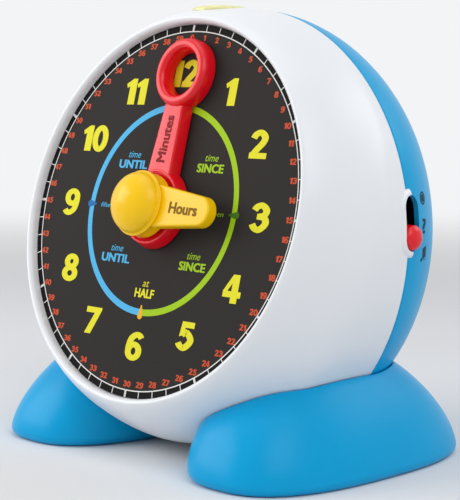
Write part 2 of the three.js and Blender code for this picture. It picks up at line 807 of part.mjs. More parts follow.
// Feet: each is a mound with a squarish plan and a rounded bottom edge, cut away where it hugs the drum.
// One outline of the mound, drawn in by an inset, at a height.
function footRing(inset, height, scale = 1) {
  const bend = (value) => Math.sign(value) * Math.abs(value) ** (2 / footPlanShare);
  const ring = [];
  for (let i = 0; i < footSides; i += 1) {
    const angle = (i / footSides) * 2 * Math.PI;
    const x = (footHalfWidth - inset) * bend(Math.cos(angle)) * scale;
    const y = (footHalfLength - inset) * bend(Math.sin(angle)) * scale;
    ring.push(new THREE.Vector3(footSpread - footLeanShare * height + x, y, height));
  }
  return ring;
}

// The rings of the bottom edge, from the floor up.
function footEdgeRings() {
  const rings = [];
  for (let step = 0; step < footEdgeSteps; step += 1) {
    const turn = (step / footEdgeSteps) * (Math.PI / 2);
    rings.push(footRing(footEdge * (1 - Math.sin(turn)), footEdge * (1 - Math.cos(turn))));
  }
  return rings;
}

// The rings of the dome above the edge.
function footDomeRings(inset) {
  const rings = [];
  for (let step = 0; step < footDomeSteps; step += 1) {
    const turn = (step / footDomeSteps) * (Math.PI / 2);
    const rise = (footHeight - inset - footEdge) * Math.sin(turn) ** (2 / footDomeShare);
    rings.push(footRing(inset, footEdge + rise, Math.cos(turn) ** (2 / footDomeShare)));
  }
  return rings;
}

// The hollow has a narrower mouth, which leaves the flat rim that the foot stands on and holds the cover.
const footMouth = footEdge + footLand;
const footCoverTop = footCoverLift + footCoverThickness;
const footBody = cut(lofted([...footEdgeRings(), ...footDomeRings(0)]), drumSolid(gap));
const footHollow = cut(
  lofted([footRing(footMouth, -overrun), footRing(footMouth, footCoverTop + gap), ...footDomeRings(wall)]),
  drumSolid(gap + wall),
);
const footCover = cut(
  lofted([footRing(footMouth + gap, footCoverLift), footRing(footMouth + gap, footCoverTop)]),
  drumSolid(gap + wall + gap),
);

function mirrored(solid, side) {
  if (side > 0) return solid;
  return solidOf(geometryOf(solid).applyMatrix4(new THREE.Matrix4().makeScale(-1, 1, 1)));
}

for (const side of [-1, 1]) {
  const label = side < 0 ? "left" : "right";
  let hollow = footHollow;
  const holes = [];
  for (const { line } of footScrewLines.filter((entry) => entry.side > 0)) {
    hollow = cut(hollow, rod(alongLine(line, overrun), alongLine(line, -footBossLength), footBossRadius));
    holes.push(screwHole(alongLine(line, overrun), alongLine(line, footScrewInset - screwLength - gap)));
  }
  piece(`${label}_foot`, mirrored(cut(footBody, hollow, ...holes), side), blue);
  piece(`${label}_foot_cover`, mirrored(footCover, side), blue);
}

// A screw piece whose head bears at a point and whose shank runs along a direction.
function screwPiece(name, at, direction, length = screwLength, parent = clock) {
  const mesh = piece(name, screwSolid(length), steel, parent);
  mesh.position.set(...at);
  mesh.quaternion.setFromUnitVectors(new THREE.Vector3(0, 0, -1), direction.clone().normalize());
  return mesh;
}

for (const { side, direction, line } of footScrewLines) {
  const name = `${side < 0 ? "left" : "right"}_foot_screw_${direction < 0 ? "front" : "rear"}`;
  screwPiece(name, alongLine(line, footScrewInset + gap), line.inward.clone().negate());
}
seamScrewAngles.forEach((angle, i) => {
  const at = seamPlace(angle, seamScrewShare);
  const y = seamY + bossProud + gap + wellFloor + gap;
  screwPiece(`housing_screw_${i + 1}`, [at.x, y, at.y], new THREE.Vector3(0, -1, 0));
});

// Dial: a flat printed disc in the front housing's recess.
const dialDisc = turned(
  [
    [minuteTubeRadius + gap, -dialThickness],
    [dialRadius, -dialThickness],
    [dialRadius, 0],
    [minuteTubeRadius + gap, 0],
    [minuteTubeRadius + gap, -dialThickness],
  ],
  drumSides,
);
piece("dial_face", dialDisc, charcoal, dialFrame);

// An arm from the centre along +Y that tapers to its tip, with sides that spread to the back and
// bevelled rims.
function arm(rootWidth, tipWidth, tipSteps, to, low, high, draft) {
  const outline = (grow, height) => {
    const root = rootWidth / 2 + grow;
    const tip = tipWidth / 2 + grow;
    const points = [new THREE.Vector3(-root, 0, height), new THREE.Vector3(root, 0, height)];
    for (let step = 0; step <= tipSteps; step += 1) {
      const angle = (step / tipSteps) * Math.PI;
      const rise = tipSteps > 1 ? tip * Math.sin(angle) - tipWidth / 2 : 0;
      points.push(new THREE.Vector3(tip * Math.cos(angle), to + rise, height));
    }
    return points;
  };
  const bevel = handEdge / 2;
  return lofted([
    outline(draft - bevel, low),
    outline(draft, low + bevel),
    outline(0, high - bevel),
    outline(-bevel, high),
  ]);
}

// The hub: a drafted disc with a raised rim round a shallow dish.
function minuteHub() {
  const bevel = handEdge / 2;
  const top = minuteHubRadius - minuteDraft;
  return turned(
    [
      [0, minuteLift],
      [minuteHubRadius - bevel, minuteLift],
      [minuteHubRadius, minuteLift + bevel],
      [top, minuteFront - bevel],
      [top - bevel, minuteFront],
      [top - hubRim, minuteFront],
      [top - hubRim - hubDish, minuteFront - hubDish],
      [0, minuteFront - hubDish],
    ],
    roundSides,
  );
}

// The finger ring: a half-round band whose crest is narrow and whose foot is as wide as its two radii say.
function fingerRing() {
  const middle = (ringOuterRadius + ringHoleRadius) / 2;
  const half = (ringOuterRadius - ringHoleRadius) / 2;
  const profile = [];
  for (let step = 0; step <= ringSteps; step += 1) {
    const turn = (step / ringSteps) * Math.PI;
    profile.push([middle + half * Math.cos(turn),
      minuteLift + handEdge / 2 + (ringThickness - handEdge / 2) * Math.sin(turn)]);
  }
  profile.push([ringHoleRadius + handEdge / 4, minuteLift], [ringOuterRadius - handEdge / 4, minuteLift],
    profile[0]);
  return turned(profile, ringSides, new THREE.Matrix4().makeTranslation(0, ringCentre, 0));
}

function minuteNib() {
  const root = ringCentre + (ringOuterRadius + ringHoleRadius) / 2;
  const shape = new THREE.Shape();
  shape.moveTo(-nibWidth / 2, root);
  shape.lineTo(nibWidth / 2, root);
  shape.lineTo(nibTip / 2, nibReach);
  shape.lineTo(-nibTip / 2, nibReach);
  return plate(shape, nibLift, nibLift + nibThickness);
}

function minuteHand() {
  const shaft = arm(minuteArmRoot, minuteArmTip, 1, ringCentre - ringOuterRadius + minuteDraft, minuteLift,
    minuteFront,
    minuteDraft);
  const socket = turned(
    [
      [0, minuteLift - overrun],
      [minuteTubeRadius + gap, minuteLift - overrun],
      [minuteTubeRadius + gap, tubeFront + gap],
      [hourShaftRadius + gap, tubeFront + gap],
      [hourShaftRadius + gap, minuteFront + overrun],
      [0, minuteFront + overrun],
    ],
    roundSides,
  );
  const dish = turned(
    [
      [0, minuteFront - hubDish],
      [minuteHubRadius - minuteDraft - hubRim - hubDish, minuteFront - hubDish],
      [minuteHubRadius - minuteDraft - hubRim, minuteFront],
      [minuteHubRadius - minuteDraft - hubRim, minuteFront + overrun],
      [0, minuteFront + overrun],
    ],
    roundSides,
  );
  return cut(joined(cut(joined(minuteHub(), shaft), dish), fingerRing(), minuteNib()), socket);
}

const minuteMesh = piece("minute_hand", minuteHand(), red, dialFrame);
minuteMesh.rotation.z = -minuteTurn;

function tube(inner, outer, low, high, sides = roundSides) {
  return turned([[inner, low], [outer, low], [outer, high], [inner, high], [inner, low]], sides);
}

piece("minute_shaft",
  tube(hourShaftRadius + gap, minuteTubeRadius, minuteDiscBack - encoderHubHeight / 2, tubeFront),
  natural, dialFrame);

// An encoder disc: a toothed disc on a hub, whose hub faces the board between the two discs.
function encoderDisc(bore, low, high, discLow) {
  let disc = joined(tube(bore, encoderHubRadius, low, high),
    tube(bore, encoderRadius, discLow, discLow + encoderThickness));
  for (let i = 0; i < encoderNotches; i += 1) {
    const notch = new THREE.BoxGeometry(encoderNotchWidth, encoderNotchWidth * 2,
      encoderThickness + 2 * overrun);
    notch.translate(0, encoderRadius, discLow + encoderThickness / 2);
    notch.rotateZ((i / encoderNotches) * 2 * Math.PI);
    disc = cut(disc, solidOf(notch));
  }
  return disc;
}

piece("minute_encoder_disc",
  encoderDisc(minuteTubeRadius + gap, minuteDiscFront - encoderHubHeight, minuteDiscFront, minuteDiscBack),
    black, dialFrame);
piece("hour_encoder_disc",
  encoderDisc(hourShaftRadius + gap, hourDiscBack, hourDiscFront, hourDiscBack), black, dialFrame);

// Encoder board, a disc on three posts with a screw in each.
let encoderBoard = tube(minuteTubeRadius + slack, encoderBoardRadius, encoderBoardBack, encoderBoardFront);
for (const [x, y] of encoderPlaces) {
  encoderBoard = cut(encoderBoard,
    screwHole([x, y, encoderBoardBack - overrun], [x, y, encoderBoardFront + overrun]));
}
piece("encoder_board", encoderBoard, board, dialFrame);
encoderPlaces.forEach(([x, y], i) => {
  screwPiece(`encoder_screw_${i + 1}`, [x, y, encoderBoardBack - gap], new THREE.Vector3(0, 0, 1),
    smallScrewLength, dialFrame);
});

// Hour hand, with its knob in one moulding, and its shaft.
function hourHand() {
  const low = hourBack;
  const rimLow = low + hourThickness;
  const rimHigh = rimLow + knobRimThickness;
  const crown = low + knobRise;
  const profile = [
    [0, hourFoot],
    [knobWaist - handEdge, hourFoot],
    [knobWaist, hourFoot + handEdge],
    [knobWaist, low + hourThickness / 2],
    [knobRadius, rimLow],
    [knobRadius, rimHigh],
  ];
  for (let step = 0; step <= knobSteps; step += 1) {
    const turn = (step / knobSteps) * (Math.PI / 2);
    profile.push([knobDomeRadius * Math.cos(turn), rimHigh + (crown - rimHigh) * Math.sin(turn)]);
  }
  const knob = turned(profile, roundSides);
  const pointer = arm(hourArmRoot, hourArmTip, smallSides, hourReach, low, low + hourThickness, hourDraft);
  const socket = turned(
    [
      [0, hourFoot - overrun],
      [hourShaftRadius + gap, hourFoot - overrun],
      [hourShaftRadius + gap, hourShaftFront + gap],
      [0, hourShaftFront + gap],
    ],
    roundSides,
  );
  return cut(joined(knob, pointer), socket);
}

const hourMesh = piece("hour_hand", hourHand(), yellow, dialFrame);
hourMesh.rotation.z = -Math.PI / 2;
piece("hour_shaft",
  turned([[0, shaftEnd], [hourShaftRadius, shaftEnd], [hourShaftRadius, hourShaftFront], [0, hourShaftFront]],
  roundSides), steel, dialFrame);
piece("shaft_clip", tube(hourShaftRadius + gap, clipRadius, clipBack, clipFront, smallSides), steel,
  dialFrame);

// Top button: a capped dome with a flange that the housing holds down, its spring, switch and lamp. A plunger
// under the cap stands over the switch, higher by the button's travel.
const switchX = tactSize / 2 + gap;

function topButton() {
  const flangeTop = buttonLedge - gap;
  const flangeLow = flangeTop - buttonFlangeThickness;
  const profile = [[0, buttonEdge - buttonWall], [buttonRadius - buttonWall, buttonEdge - buttonWall]];
  profile.push([buttonRadius - buttonWall, flangeLow], [buttonRadius + buttonFlange, flangeLow]);
  profile.push([buttonRadius + buttonFlange, flangeTop], [buttonRadius, flangeTop],
    [buttonRadius, buttonEdge]);
  for (let step = 1; step <= capSteps; step += 1) {
    const turn = (step / capSteps) * (Math.PI / 2);
    profile.push([buttonRadius * Math.cos(turn), buttonEdge + buttonDome * Math.sin(turn)]);
  }
  const low = buttonBoardTop + gap + tactHeight + gap + buttonTravel;
  const plunger = rod([switchX, 0, low], [switchX, 0, buttonEdge - buttonWall / 2], plungerRadius);
  return joined(turned(profile, roundSides), plunger);
}

const buttonMesh = piece("top_button", topButton(), paleYellow);
buttonMesh.position.set(0, buttonY, 0);

const springLow = buttonBoardTop + gap + springWire;
const springHigh = buttonEdge - buttonWall - gap - springWire;

class Helix extends THREE.Curve {
  getPoint(share, target = new THREE.Vector3()) {
    const angle = share * springTurns * 2 * Math.PI;
    const height = springLow + (springHigh - springLow) * share;
    return target.set(springRadius * Math.cos(angle), springRadius * Math.sin(angle), height);
  }
}

const wireSection = new THREE.Shape();
for (let i = 0; i < wireSides; i += 1) {
  const angle = (i / wireSides) * 2 * Math.PI;
  const at = [springWire / 2 * Math.cos(angle), springWire / 2 * Math.sin(angle)];
  if (i === 0) wireSection.moveTo(...at);
  else wireSection.lineTo(...at);
}
const spring = new THREE.ExtrudeGeometry(wireSection,
  { extrudePath: new Helix(), steps: Math.round(springTurns * springSteps) });
const springMesh = piece("button_spring", solidOf(spring), steel);
springMesh.position.set(0, buttonY, 0);

function buttonBoard() {
  const low = buttonBoardTop - boardThickness;
  let solid = joined(
    upright(buttonWellRadius, low, buttonBoardTop),
    block([-buttonEarReach, buttonY - buttonEarRadius, low],
      [buttonEarReach, buttonY + buttonEarRadius, buttonBoardTop]),
  );
  for (const side of [-1, 1]) {
    const x = side * buttonEarReach;
    solid = joined(solid, rod([x, buttonY, low], [x, buttonY, buttonBoardTop], buttonEarRadius));
    solid = cut(solid, screwHole([x, buttonY, low - overrun], [x, buttonY, buttonBoardTop + overrun]));
  }
  return solid;
}

piece("button_board", buttonBoard(), board);
for (const side of [-1, 1]) {
  screwPiece(`button_board_screw_${side < 0 ? "left" : "right"}`,
    [side * buttonEarReach, buttonY, buttonBoardTop - boardThickness - gap], new THREE.Vector3(0, 0, 1),
      smallScrewLength);
}
const lampProfile = [[0, 0], [lampRadius, 0], [lampRadius, lampHeight - lampRadius]];
for (let step = 1; step <= capSteps; step += 1) {
  const turn = (step / capSteps) * (Math.PI / 2);
  lampProfile.push([lampRadius * Math.cos(turn), lampHeight - lampRadius + lampRadius * Math.sin(turn)]);
}
const lampMesh = piece("button_lamp", turned(lampProfile, smallSides), lens);
lampMesh.position.set(-tactSize / 2 - gap, buttonY, buttonBoardTop + gap);
const tactBody = block([-tactSize / 2, -tactSize / 2, 0],
  [tactSize / 2, tactSize / 2, tactHeight - tactSize / 4]);
const tact = joined(tactBody, rod([0, 0, 0], [0, 0, tactHeight], tactSize / 4));
const tactMesh = piece("button_switch", tact, black);
tactMesh.position.set(switchX, buttonY, buttonBoardTop + gap);

// Mode slider: a domed knob on a plate that slides behind the slot, at the bottom of its travel.
const sliderZ = slotZ - sliderTravel / 2;

function modeSlider() {
  const dome = sliderProud;
  const faceX = sideX + slotCollarProud / 2;
  const length = faceX - plateBack;
  const profile = [[0, 0], [sliderKnobRadius, 0], [sliderKnobRadius, length]];
  for (let step = 1; step <= capSteps; step += 1) {
    const turn = (step / capSteps) * (Math.PI / 2);
    profile.push([sliderKnobRadius * Math.cos(turn), length + dome * Math.sin(turn)]);
  }
  const place = new THREE.Matrix4().makeRotationY(Math.PI / 2).setPosition(plateBack, slotY, sliderZ);
  const knob = turned(profile, roundSides, place);
  const backing = block(
    [plateBack, slotY - sliderPlateHalfWidth, sliderZ - sliderPlateHalfHeight],
    [plateFace, slotY + sliderPlateHalfWidth, sliderZ + sliderPlateHalfHeight],
  );
  const half = leverSize / 2 + gap;
  const notch = block([plateBack - overrun, slotY - half, sliderZ - half],
    [plateBack + sliderPlateThickness / 2, slotY + half, sliderZ + half]);
  return cut(joined(knob, backing), notch);
}

piece("mode_slider", modeSlider(), red);

// The switch behind the slider: a case with a slot for its lever, on a board between two shelves.
const switchBack = switchFace - switchDepth;
const leverHalf = leverSize / 2;
const switchCase = cut(
  block([switchBack, slotY - switchHalfWidth, slotZ - switchHalfHeight],
    [switchFace, slotY + switchHalfWidth, slotZ + switchHalfHeight]),
  block([switchFace - leverLength / 2 - gap, slotY - leverHalf - gap,
    slotZ - sliderTravel / 2 - leverHalf - slack],
    [switchFace + overrun, slotY + leverHalf + gap, slotZ + sliderTravel / 2 + leverHalf + slack]),
);
piece("mode_switch", switchCase, black);
piece("mode_switch_lever",
  block([switchFace - leverLength / 2, slotY - leverHalf, sliderZ - leverHalf],
    [plateBack + sliderPlateThickness / 2 - gap, slotY + leverHalf, sliderZ + leverHalf]), natural);
piece("mode_board",
  block([modeBoardX, slotY - modeBoardHalfWidth, slotZ - modeBoardHalfHeight],
    [modeBoardX + boardThickness, slotY + modeBoardHalfWidth, slotZ + modeBoardHalfHeight]), board);

// Battery compartment: a box behind the door, with three cells side by side.
const cellY = doorInsideY - doorFloorGap - cellRadius;
const boxFloorY = cellY - cellRadius - gap;
const boxBackY = boxFloorY - boxWall;
const doorScrewSeat = backFace - screwHeadHeight / 2;
const doorScrewTip = doorScrewSeat - screwLength;

const mainPlaces = [];
for (const side of [-1, 1]) {
  for (const level of [-1, 1]) {
    mainPlaces.push([
      side * (mainBoardWidth / 2 - mainPostRadius),
      batteryZ + level * (mainBoardHeight / 2 - mainPostRadius),
    ]);
  }
}

function batteryBox() {
  const outer = block([-boxHalfWidth - boxWall, boxBackY, batteryZ - boxHalfHeight - boxWall],
    [boxHalfWidth + boxWall, doorSeatY, batteryZ + boxHalfHeight + boxWall]);
  const flange = backPlate(doorShape(doorBorder), doorSeatY - boxWall, doorSeatY, batteryZ);
  const inside = block([-boxHalfWidth, boxFloorY, batteryZ - boxHalfHeight],
    [boxHalfWidth, doorSeatY + overrun, batteryZ + boxHalfHeight]);
  const screwZ = batteryZ + doorTabZ;
  const post = rod([0, doorScrewTip - boxWall, screwZ], [0, doorSeatY, screwZ], doorTabRadius);
  let solid = cut(joined(outer, flange, post), inside);
  for (let i = 1; i < cellCount; i += 1) {
    const z = batteryZ + (i - cellCount / 2) * cellPitch;
    const half = (cellPitch - 2 * cellRadius) / 4;
    solid = joined(solid,
      block([-cellLength / 2, boxBackY, z - half], [cellLength / 2, boxFloorY + cellRadius / 2, z + half]));
  }
  const postBack = boxBackY - mainPostHeight;
  for (const [x, z] of mainPlaces) {
    const post = rod([x, postBack, z], [x, boxBackY + boxWall / 2, z], mainPostRadius);
    const pilot = screwHole([x, postBack - overrun, z], [x, boxBackY, z]);
    solid = cut(joined(solid, post), pilot);
  }
  return cut(solid, screwHole([0, doorSeatY + overrun, screwZ], [0, doorScrewTip - gap, screwZ]));
}

piece("battery_box", batteryBox(), black);
let batteryDoor = backPlate(doorShape(0), doorInsideY, backFace, batteryZ);
batteryDoor = cut(batteryDoor,
  screwHole([0, doorInsideY - overrun, batteryZ + doorTabZ], [0, backFace + overrun, batteryZ + doorTabZ]));
batteryDoor = cut(batteryDoor,
  rod([0, doorScrewSeat - gap, batteryZ + doorTabZ], [0, backFace + overrun, batteryZ + doorTabZ],
  screwHeadRadius + gap, smallSides));
piece("battery_door", batteryDoor, blue);
screwPiece("battery_door_screw", [0, doorScrewSeat, batteryZ + doorTabZ], new THREE.Vector3(0, -1, 0));

const cellSides = 1.5 * smallSides;
const cellProfile = [
  [0, -cellLength / 2],
  [cellRadius, -cellLength / 2],
  [cellRadius, cellLength / 2],
  [cellNubRadius, cellLength / 2],
  [cellNubRadius, cellLength / 2 + cellNubLength],
  [0, cellLength / 2 + cellNubLength],
];
for (let i = 0; i < cellCount; i += 1) {
  const side = i % 2 === 0 ? 1 : -1;
  const place = new THREE.Matrix4().makeRotationY((side * Math.PI) / 2);
  const mesh = piece(`battery_${i + 1}`, turned(cellProfile, cellSides, place), cellJacket);
  mesh.position.set((-side * cellNubLength) / 2, cellY, batteryZ + (i - (cellCount - 1) / 2) * cellPitch);
}
for (const side of [-1, 1]) {
  const endX = side * (boxHalfWidth - gap);
  const reachX = side * (cellLength / 2 + cellNubLength / 2 + gap);
  const low = batteryZ - boxHalfHeight + gap;
  let contact = block(
    [Math.min(endX, endX - side * contactThickness), boxFloorY + gap, low],
    [Math.max(endX, endX - side * contactThickness), doorInsideY - doorFloorGap,
      batteryZ + boxHalfHeight - gap]);
  for (let i = 0; i < cellCount; i += 1) {
    const z = batteryZ + (i - (cellCount - 1) / 2) * cellPitch;
    const cone = new THREE.CylinderGeometry(cellNubRadius, cellRadius / 2, Math.abs(endX - reachX),
      smallSides / 2);
    cone.rotateZ((side * Math.PI) / 2).translate((endX + reachX) / 2, cellY, z);
    contact = joined(contact, solidOf(cone));
  }
  piece(`battery_contact_${side < 0 ? "left" : "right"}`, contact, steel);
}

// Main circuit board on four posts of the battery box, with its chips on the far side.
const mainBoardY = boxBackY - mainPostHeight - gap;

function mainBoard() {
  const low = mainBoardY - boardThickness;
  let solid = block([-mainBoardWidth / 2, low, batteryZ - mainBoardHeight / 2],
    [mainBoardWidth / 2, mainBoardY, batteryZ + mainBoardHeight / 2]);
  const chip = chipSize / 2;
  for (const x of [-chipSize, chipSize / 2]) {
    solid = joined(solid,
      block([x - chip / 2, low - chipHeight, batteryZ - chip],
      [x + chip, low + boardThickness / 2, batteryZ + chip]));
  }
  const canX = mainBoardWidth / 2 - mainPostRadius - 2 * canRadius;
  for (const z of [-canRadius - slack, canRadius + slack]) {
    solid = joined(solid,
      rod([canX, low - canHeight, batteryZ + z], [canX, low + boardThickness / 2, batteryZ + z], canRadius));
  }
  for (const [x, z] of mainPlaces) {
    solid = cut(solid, screwHole([x, low - overrun, z], [x, mainBoardY + overrun, z]));
  }
  return solid;
}

piece("main_board", mainBoard(), board);
mainPlaces.forEach(([x, z], i) => {
  screwPiece(`main_board_screw_${i + 1}`, [x, mainBoardY - boardThickness - gap, z],
    new THREE.Vector3(0, 1, 0),
    smallScrewLength);
});

// Speaker: a basket with its flange in the rear housing's collar, a cone, and a magnet behind.
const alongY = new THREE.Matrix4().makeRotationX(-Math.PI / 2);
const speakerFace = rearInnerY - gap;

function speakerTurned(profile, sides = roundSides) {
  return turned(profile, sides, alongY);
}

const basket = speakerTurned([
  [speakerNeckRadius - speakerFlangeThickness, -speakerDepth],
  [speakerNeckRadius, -speakerDepth],
  [speakerRadius - speakerFlange, -speakerFlangeThickness],
  [speakerRadius, -speakerFlangeThickness],
  [speakerRadius, 0],
  [speakerRadius - speakerFlange - speakerFlangeThickness, 0],
  [speakerNeckRadius - speakerFlangeThickness, speakerFlangeThickness - speakerDepth],
  [speakerNeckRadius - speakerFlangeThickness, -speakerDepth],
]);
const basketMesh = piece("speaker_basket", basket, black);
basketMesh.position.set(0, speakerFace, speakerZ);
const coneSlack = slack + coneThickness;
const cone = speakerTurned([
  [0, dustCapRadius / 2 - speakerDepth],
  [dustCapRadius, -speakerDepth + gap],
  [speakerNeckRadius - speakerFlangeThickness - gap, -speakerDepth + speakerFlangeThickness + gap],
  [speakerRadius - speakerFlange - speakerFlangeThickness - coneSlack, -slack],
  [speakerRadius - speakerFlange - speakerFlangeThickness - coneSlack - coneThickness, -slack],
  [dustCapRadius, coneThickness - speakerDepth + gap + coneThickness],
  [0, dustCapRadius / 2 - speakerDepth + coneThickness],
]);
const coneMesh = piece("speaker_cone", cone, paper);
coneMesh.position.set(0, speakerFace, speakerZ);
const magnet = speakerTurned([
  [0, -speakerDepth - gap - magnetHeight],
  [magnetRadius, -speakerDepth - gap - magnetHeight],
  [magnetRadius, -speakerDepth - gap],
  [0, -speakerDepth - gap],
]);
const magnetMesh = piece("speaker_magnet", magnet, steel);
magnetMesh.position.set(0, speakerFace, speakerZ);

export default clock;
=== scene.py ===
"""A talking teaching clock, dressed around its construction.

A white drum front and a blue rear dome stand on two moulded feet. The dial is a printed disc, and a red
minute hand and a yellow hour hand turn in front of it. Sizes are in millimetres until a mesh is made, and
the frame is the construction's own: +Z up, the dial facing -Y, the origin on the floor.
"""

import json
import logging
from dataclasses import dataclass, field
from enum import Enum
from math import acos, atan2, cos, degrees, pi, radians, sin
from typing import Optional, Sequence

import bmesh
import bpy
import numpy as np
from bpy.types import Material, Mesh, Node, NodeSocket, NodeTree, Object
from mathutils import Matrix, Vector


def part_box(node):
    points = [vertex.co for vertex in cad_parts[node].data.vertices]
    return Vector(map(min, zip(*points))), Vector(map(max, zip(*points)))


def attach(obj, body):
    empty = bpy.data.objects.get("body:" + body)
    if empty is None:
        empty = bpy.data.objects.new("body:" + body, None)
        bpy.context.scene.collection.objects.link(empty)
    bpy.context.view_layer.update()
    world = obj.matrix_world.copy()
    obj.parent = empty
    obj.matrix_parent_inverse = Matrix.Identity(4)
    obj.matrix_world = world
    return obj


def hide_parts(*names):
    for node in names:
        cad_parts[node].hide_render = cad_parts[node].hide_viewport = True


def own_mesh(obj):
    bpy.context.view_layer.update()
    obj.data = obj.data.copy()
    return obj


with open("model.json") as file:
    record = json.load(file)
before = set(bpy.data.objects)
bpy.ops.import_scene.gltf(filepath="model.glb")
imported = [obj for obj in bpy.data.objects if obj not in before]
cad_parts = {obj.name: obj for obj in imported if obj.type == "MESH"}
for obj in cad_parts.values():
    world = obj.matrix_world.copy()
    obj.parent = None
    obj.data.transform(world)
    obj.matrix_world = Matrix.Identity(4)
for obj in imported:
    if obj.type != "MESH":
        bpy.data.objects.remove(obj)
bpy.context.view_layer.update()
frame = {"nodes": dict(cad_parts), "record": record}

LOG = logging.getLogger("teaching_clock")
MM = 0.001
PHOTO_HEIGHT_PX = 500
TURN = 2 * pi
SHARP_DEG = 38.0
MERGE_MM = 0.001
# Faces that would share a plane are parted by this share of the ink's thickness.
HAIR = 0.03
# Where the copies that make a word bold lie, in shares of its weight.
BOLD_SHIFTS = ((-0.5, -0.3), (0.5, -0.3), (-0.5, 0.3), (0.5, 0.3), (0.0, 0.0))
# A rim so small that it doesn't show.
NO_EDGE = 0.001
# The rounded edges along the seam, as turns from the skin round to the seam's face.
EDGE_TURNS = np.radians([0, 30, 60, 90])


class Body(Enum):
    """The rigid bodies that pieces ride on."""

    CASE = "clock_case"
    MINUTE = "minute_hand"
    HOUR = "hour_hand"
    BUTTON = "top_button"
    SLIDER = "mode_slider"


# Colour and node helpers


def linear(colour: str, alpha: float = 1.0) -> tuple[float, float, float, float]:
    """Turns an sRGB hex colour into linear values.

    Args:
        colour: six hex digits after a hash.
        alpha: opacity.

    Returns:
        Red, green, blue and alpha.
    """
    values = [int(colour[i:i + 2], 16) / 255 for i in (1, 3, 5)]
    parts = [v / 12.92 if v <= 0.04045 else ((v + 0.055) / 1.055) ** 2.4 for v in values]
    return parts[0], parts[1], parts[2], alpha


def add_node(tree: NodeTree, kind: str, inputs: Optional[dict] = None,
             **settings: object) -> Node:
    """Adds a node with its settings and links.

    Args:
        tree: the tree that gets the node.
        kind: the node's type name.
        inputs: input socket name or index, and a value or an output socket to link.
        settings: attributes of the node.

    Returns:
        The new node.
    """
    node = tree.nodes.new(kind)
    for name, value in settings.items():
        setattr(node, name, value)
    for key, value in (inputs or {}).items():
        if isinstance(value, NodeSocket):
            tree.links.new(value, node.inputs[key])
        else:
            node.inputs[key].default_value = value
    return node


# Mesh helpers


@dataclass
class Shape:
    """Points in millimetres and faces that index them."""

    points: np.ndarray
    faces: list[tuple[int, ...]]

    def moved(self, matrix: Matrix) -> "Shape":
        """Returns the shape moved by a matrix in millimetres."""
        turn = np.array(matrix)
        return Shape(self.points @ turn[:3, :3].T + turn[:3, 3], self.faces)

    def plus(self, *others: "Shape") -> "Shape":
        """Puts this shape and others together, as loose bodies.

        Args:
            others: the other shapes.

        Returns:
            One shape.
        """
        points, faces = [self.points], list(self.faces)
        count = len(self.points)
        for other in others:
            points.append(other.points)
            faces += [tuple(i + count for i in face) for face in other.faces]
            count += len(other.points)
        return Shape(np.vstack(points), faces)


def grid_shape(rings: np.ndarray, closed: bool = False, first: Optional[Sequence[float]] = None,
               last: Optional[Sequence[float]] = None) -> Shape:
    """Skins rings of points.

    Args:
        rings: points, ring by ring, each of the same count.
        closed: joins the last ring to the first.
        first: a pole that closes the first ring.
        last: a pole that closes the last ring.

    Returns:
        The skinned shape.
    """
    rows, cols = rings.shape[:2]
    points = rings.reshape(-1, 3)
    faces = []
    for row in range(rows if closed else rows - 1):
        low, high = row * cols, ((row + 1) % rows) * cols
        for i in range(cols):
            j = (i + 1) % cols
            faces.append((low + i, low + j, high + j, high + i))
    for pole, base in ((first, 0), (last, (rows - 1) * cols)):
        if pole is not None:
            points = np.vstack([points, pole])
            top = len(points) - 1
            faces += [(base + i, base + (i + 1) % cols, top) for i in range(cols)]
    return Shape(points, faces)


def turned(profile: Sequence[tuple[float, float]], sides: int, matrix: Matrix = Matrix()) -> Shape:
    """Turns a profile about +Z.

    Args:
        profile: radius and height of each point. One that starts or ends on the axis gets a pole there, and
            one that does neither closes on itself.
        sides: steps round the axis.
        matrix: where the shape goes, in millimetres.

    Returns:
        The turned shape.
    """
    points = list(profile)
    first = (0, 0, points.pop(0)[1]) if points[0][0] == 0 else None
    last = (0, 0, points.pop()[1]) if points[-1][0] == 0 else None
    angles = np.arange(sides) / sides * TURN
    radii = np.array([p[0] for p in points])[:, None]
    heights = np.array([p[1] for p in points])[:, None] + 0 * angles
    rings = np.stack([radii * np.cos(angles), radii * np.sin(angles), heights], axis=-1)
    return grid_shape(rings, first is None and last is None, first, last).moved(matrix)


def rounded_plate(outline: np.ndarray, low: float, high: float, edge: float, steps: int = 4,
                  draft: float = 0.0) -> Shape:
    """Pushes an outline up along +Z and rounds its two rims.

    Args:
        outline: points of the upper face's outline in the XY plane, in turn.
        low: height of the lower face.
        high: height of the upper face.
        edge: radius of the rims.
        steps: facets of each rim.
        draft: how much the sides spread from the upper face to the lower one.

    Returns:
        The plate, closed with one face at each end.
    """
    ahead, behind = np.roll(outline, -1, axis=0), np.roll(outline, 1, axis=0)
    tangent = ahead - behind
    tangent /= np.linalg.norm(tangent, axis=1)[:, None]
    area = np.sum(outline[:, 0] * ahead[:, 1] - ahead[:, 0] * outline[:, 1])
    outward = np.stack([tangent[:, 1], -tangent[:, 0]], axis=1) * np.sign(area)
    rings = []
    for base, spread, turns in ((low, draft, (0.0, 1.0)), (high, 0.0, (1.0, 0.0))):
        for share in np.linspace(*turns, steps + 1):
            angle = share * pi / 2
            inset = edge * (1 - sin(angle))
            rise = edge * (1 - cos(angle))
            height = base + rise if base == low else base - rise
            flat = outline + outward * (spread - inset)
            rings.append(np.column_stack([flat, np.full(len(flat), height)]))
    shape = grid_shape(np.array(rings))
    count = len(outline)
    shape.faces.append(tuple(range(count)))
    shape.faces.append(tuple(range(len(shape.points) - count, len(shape.points))))
    return shape


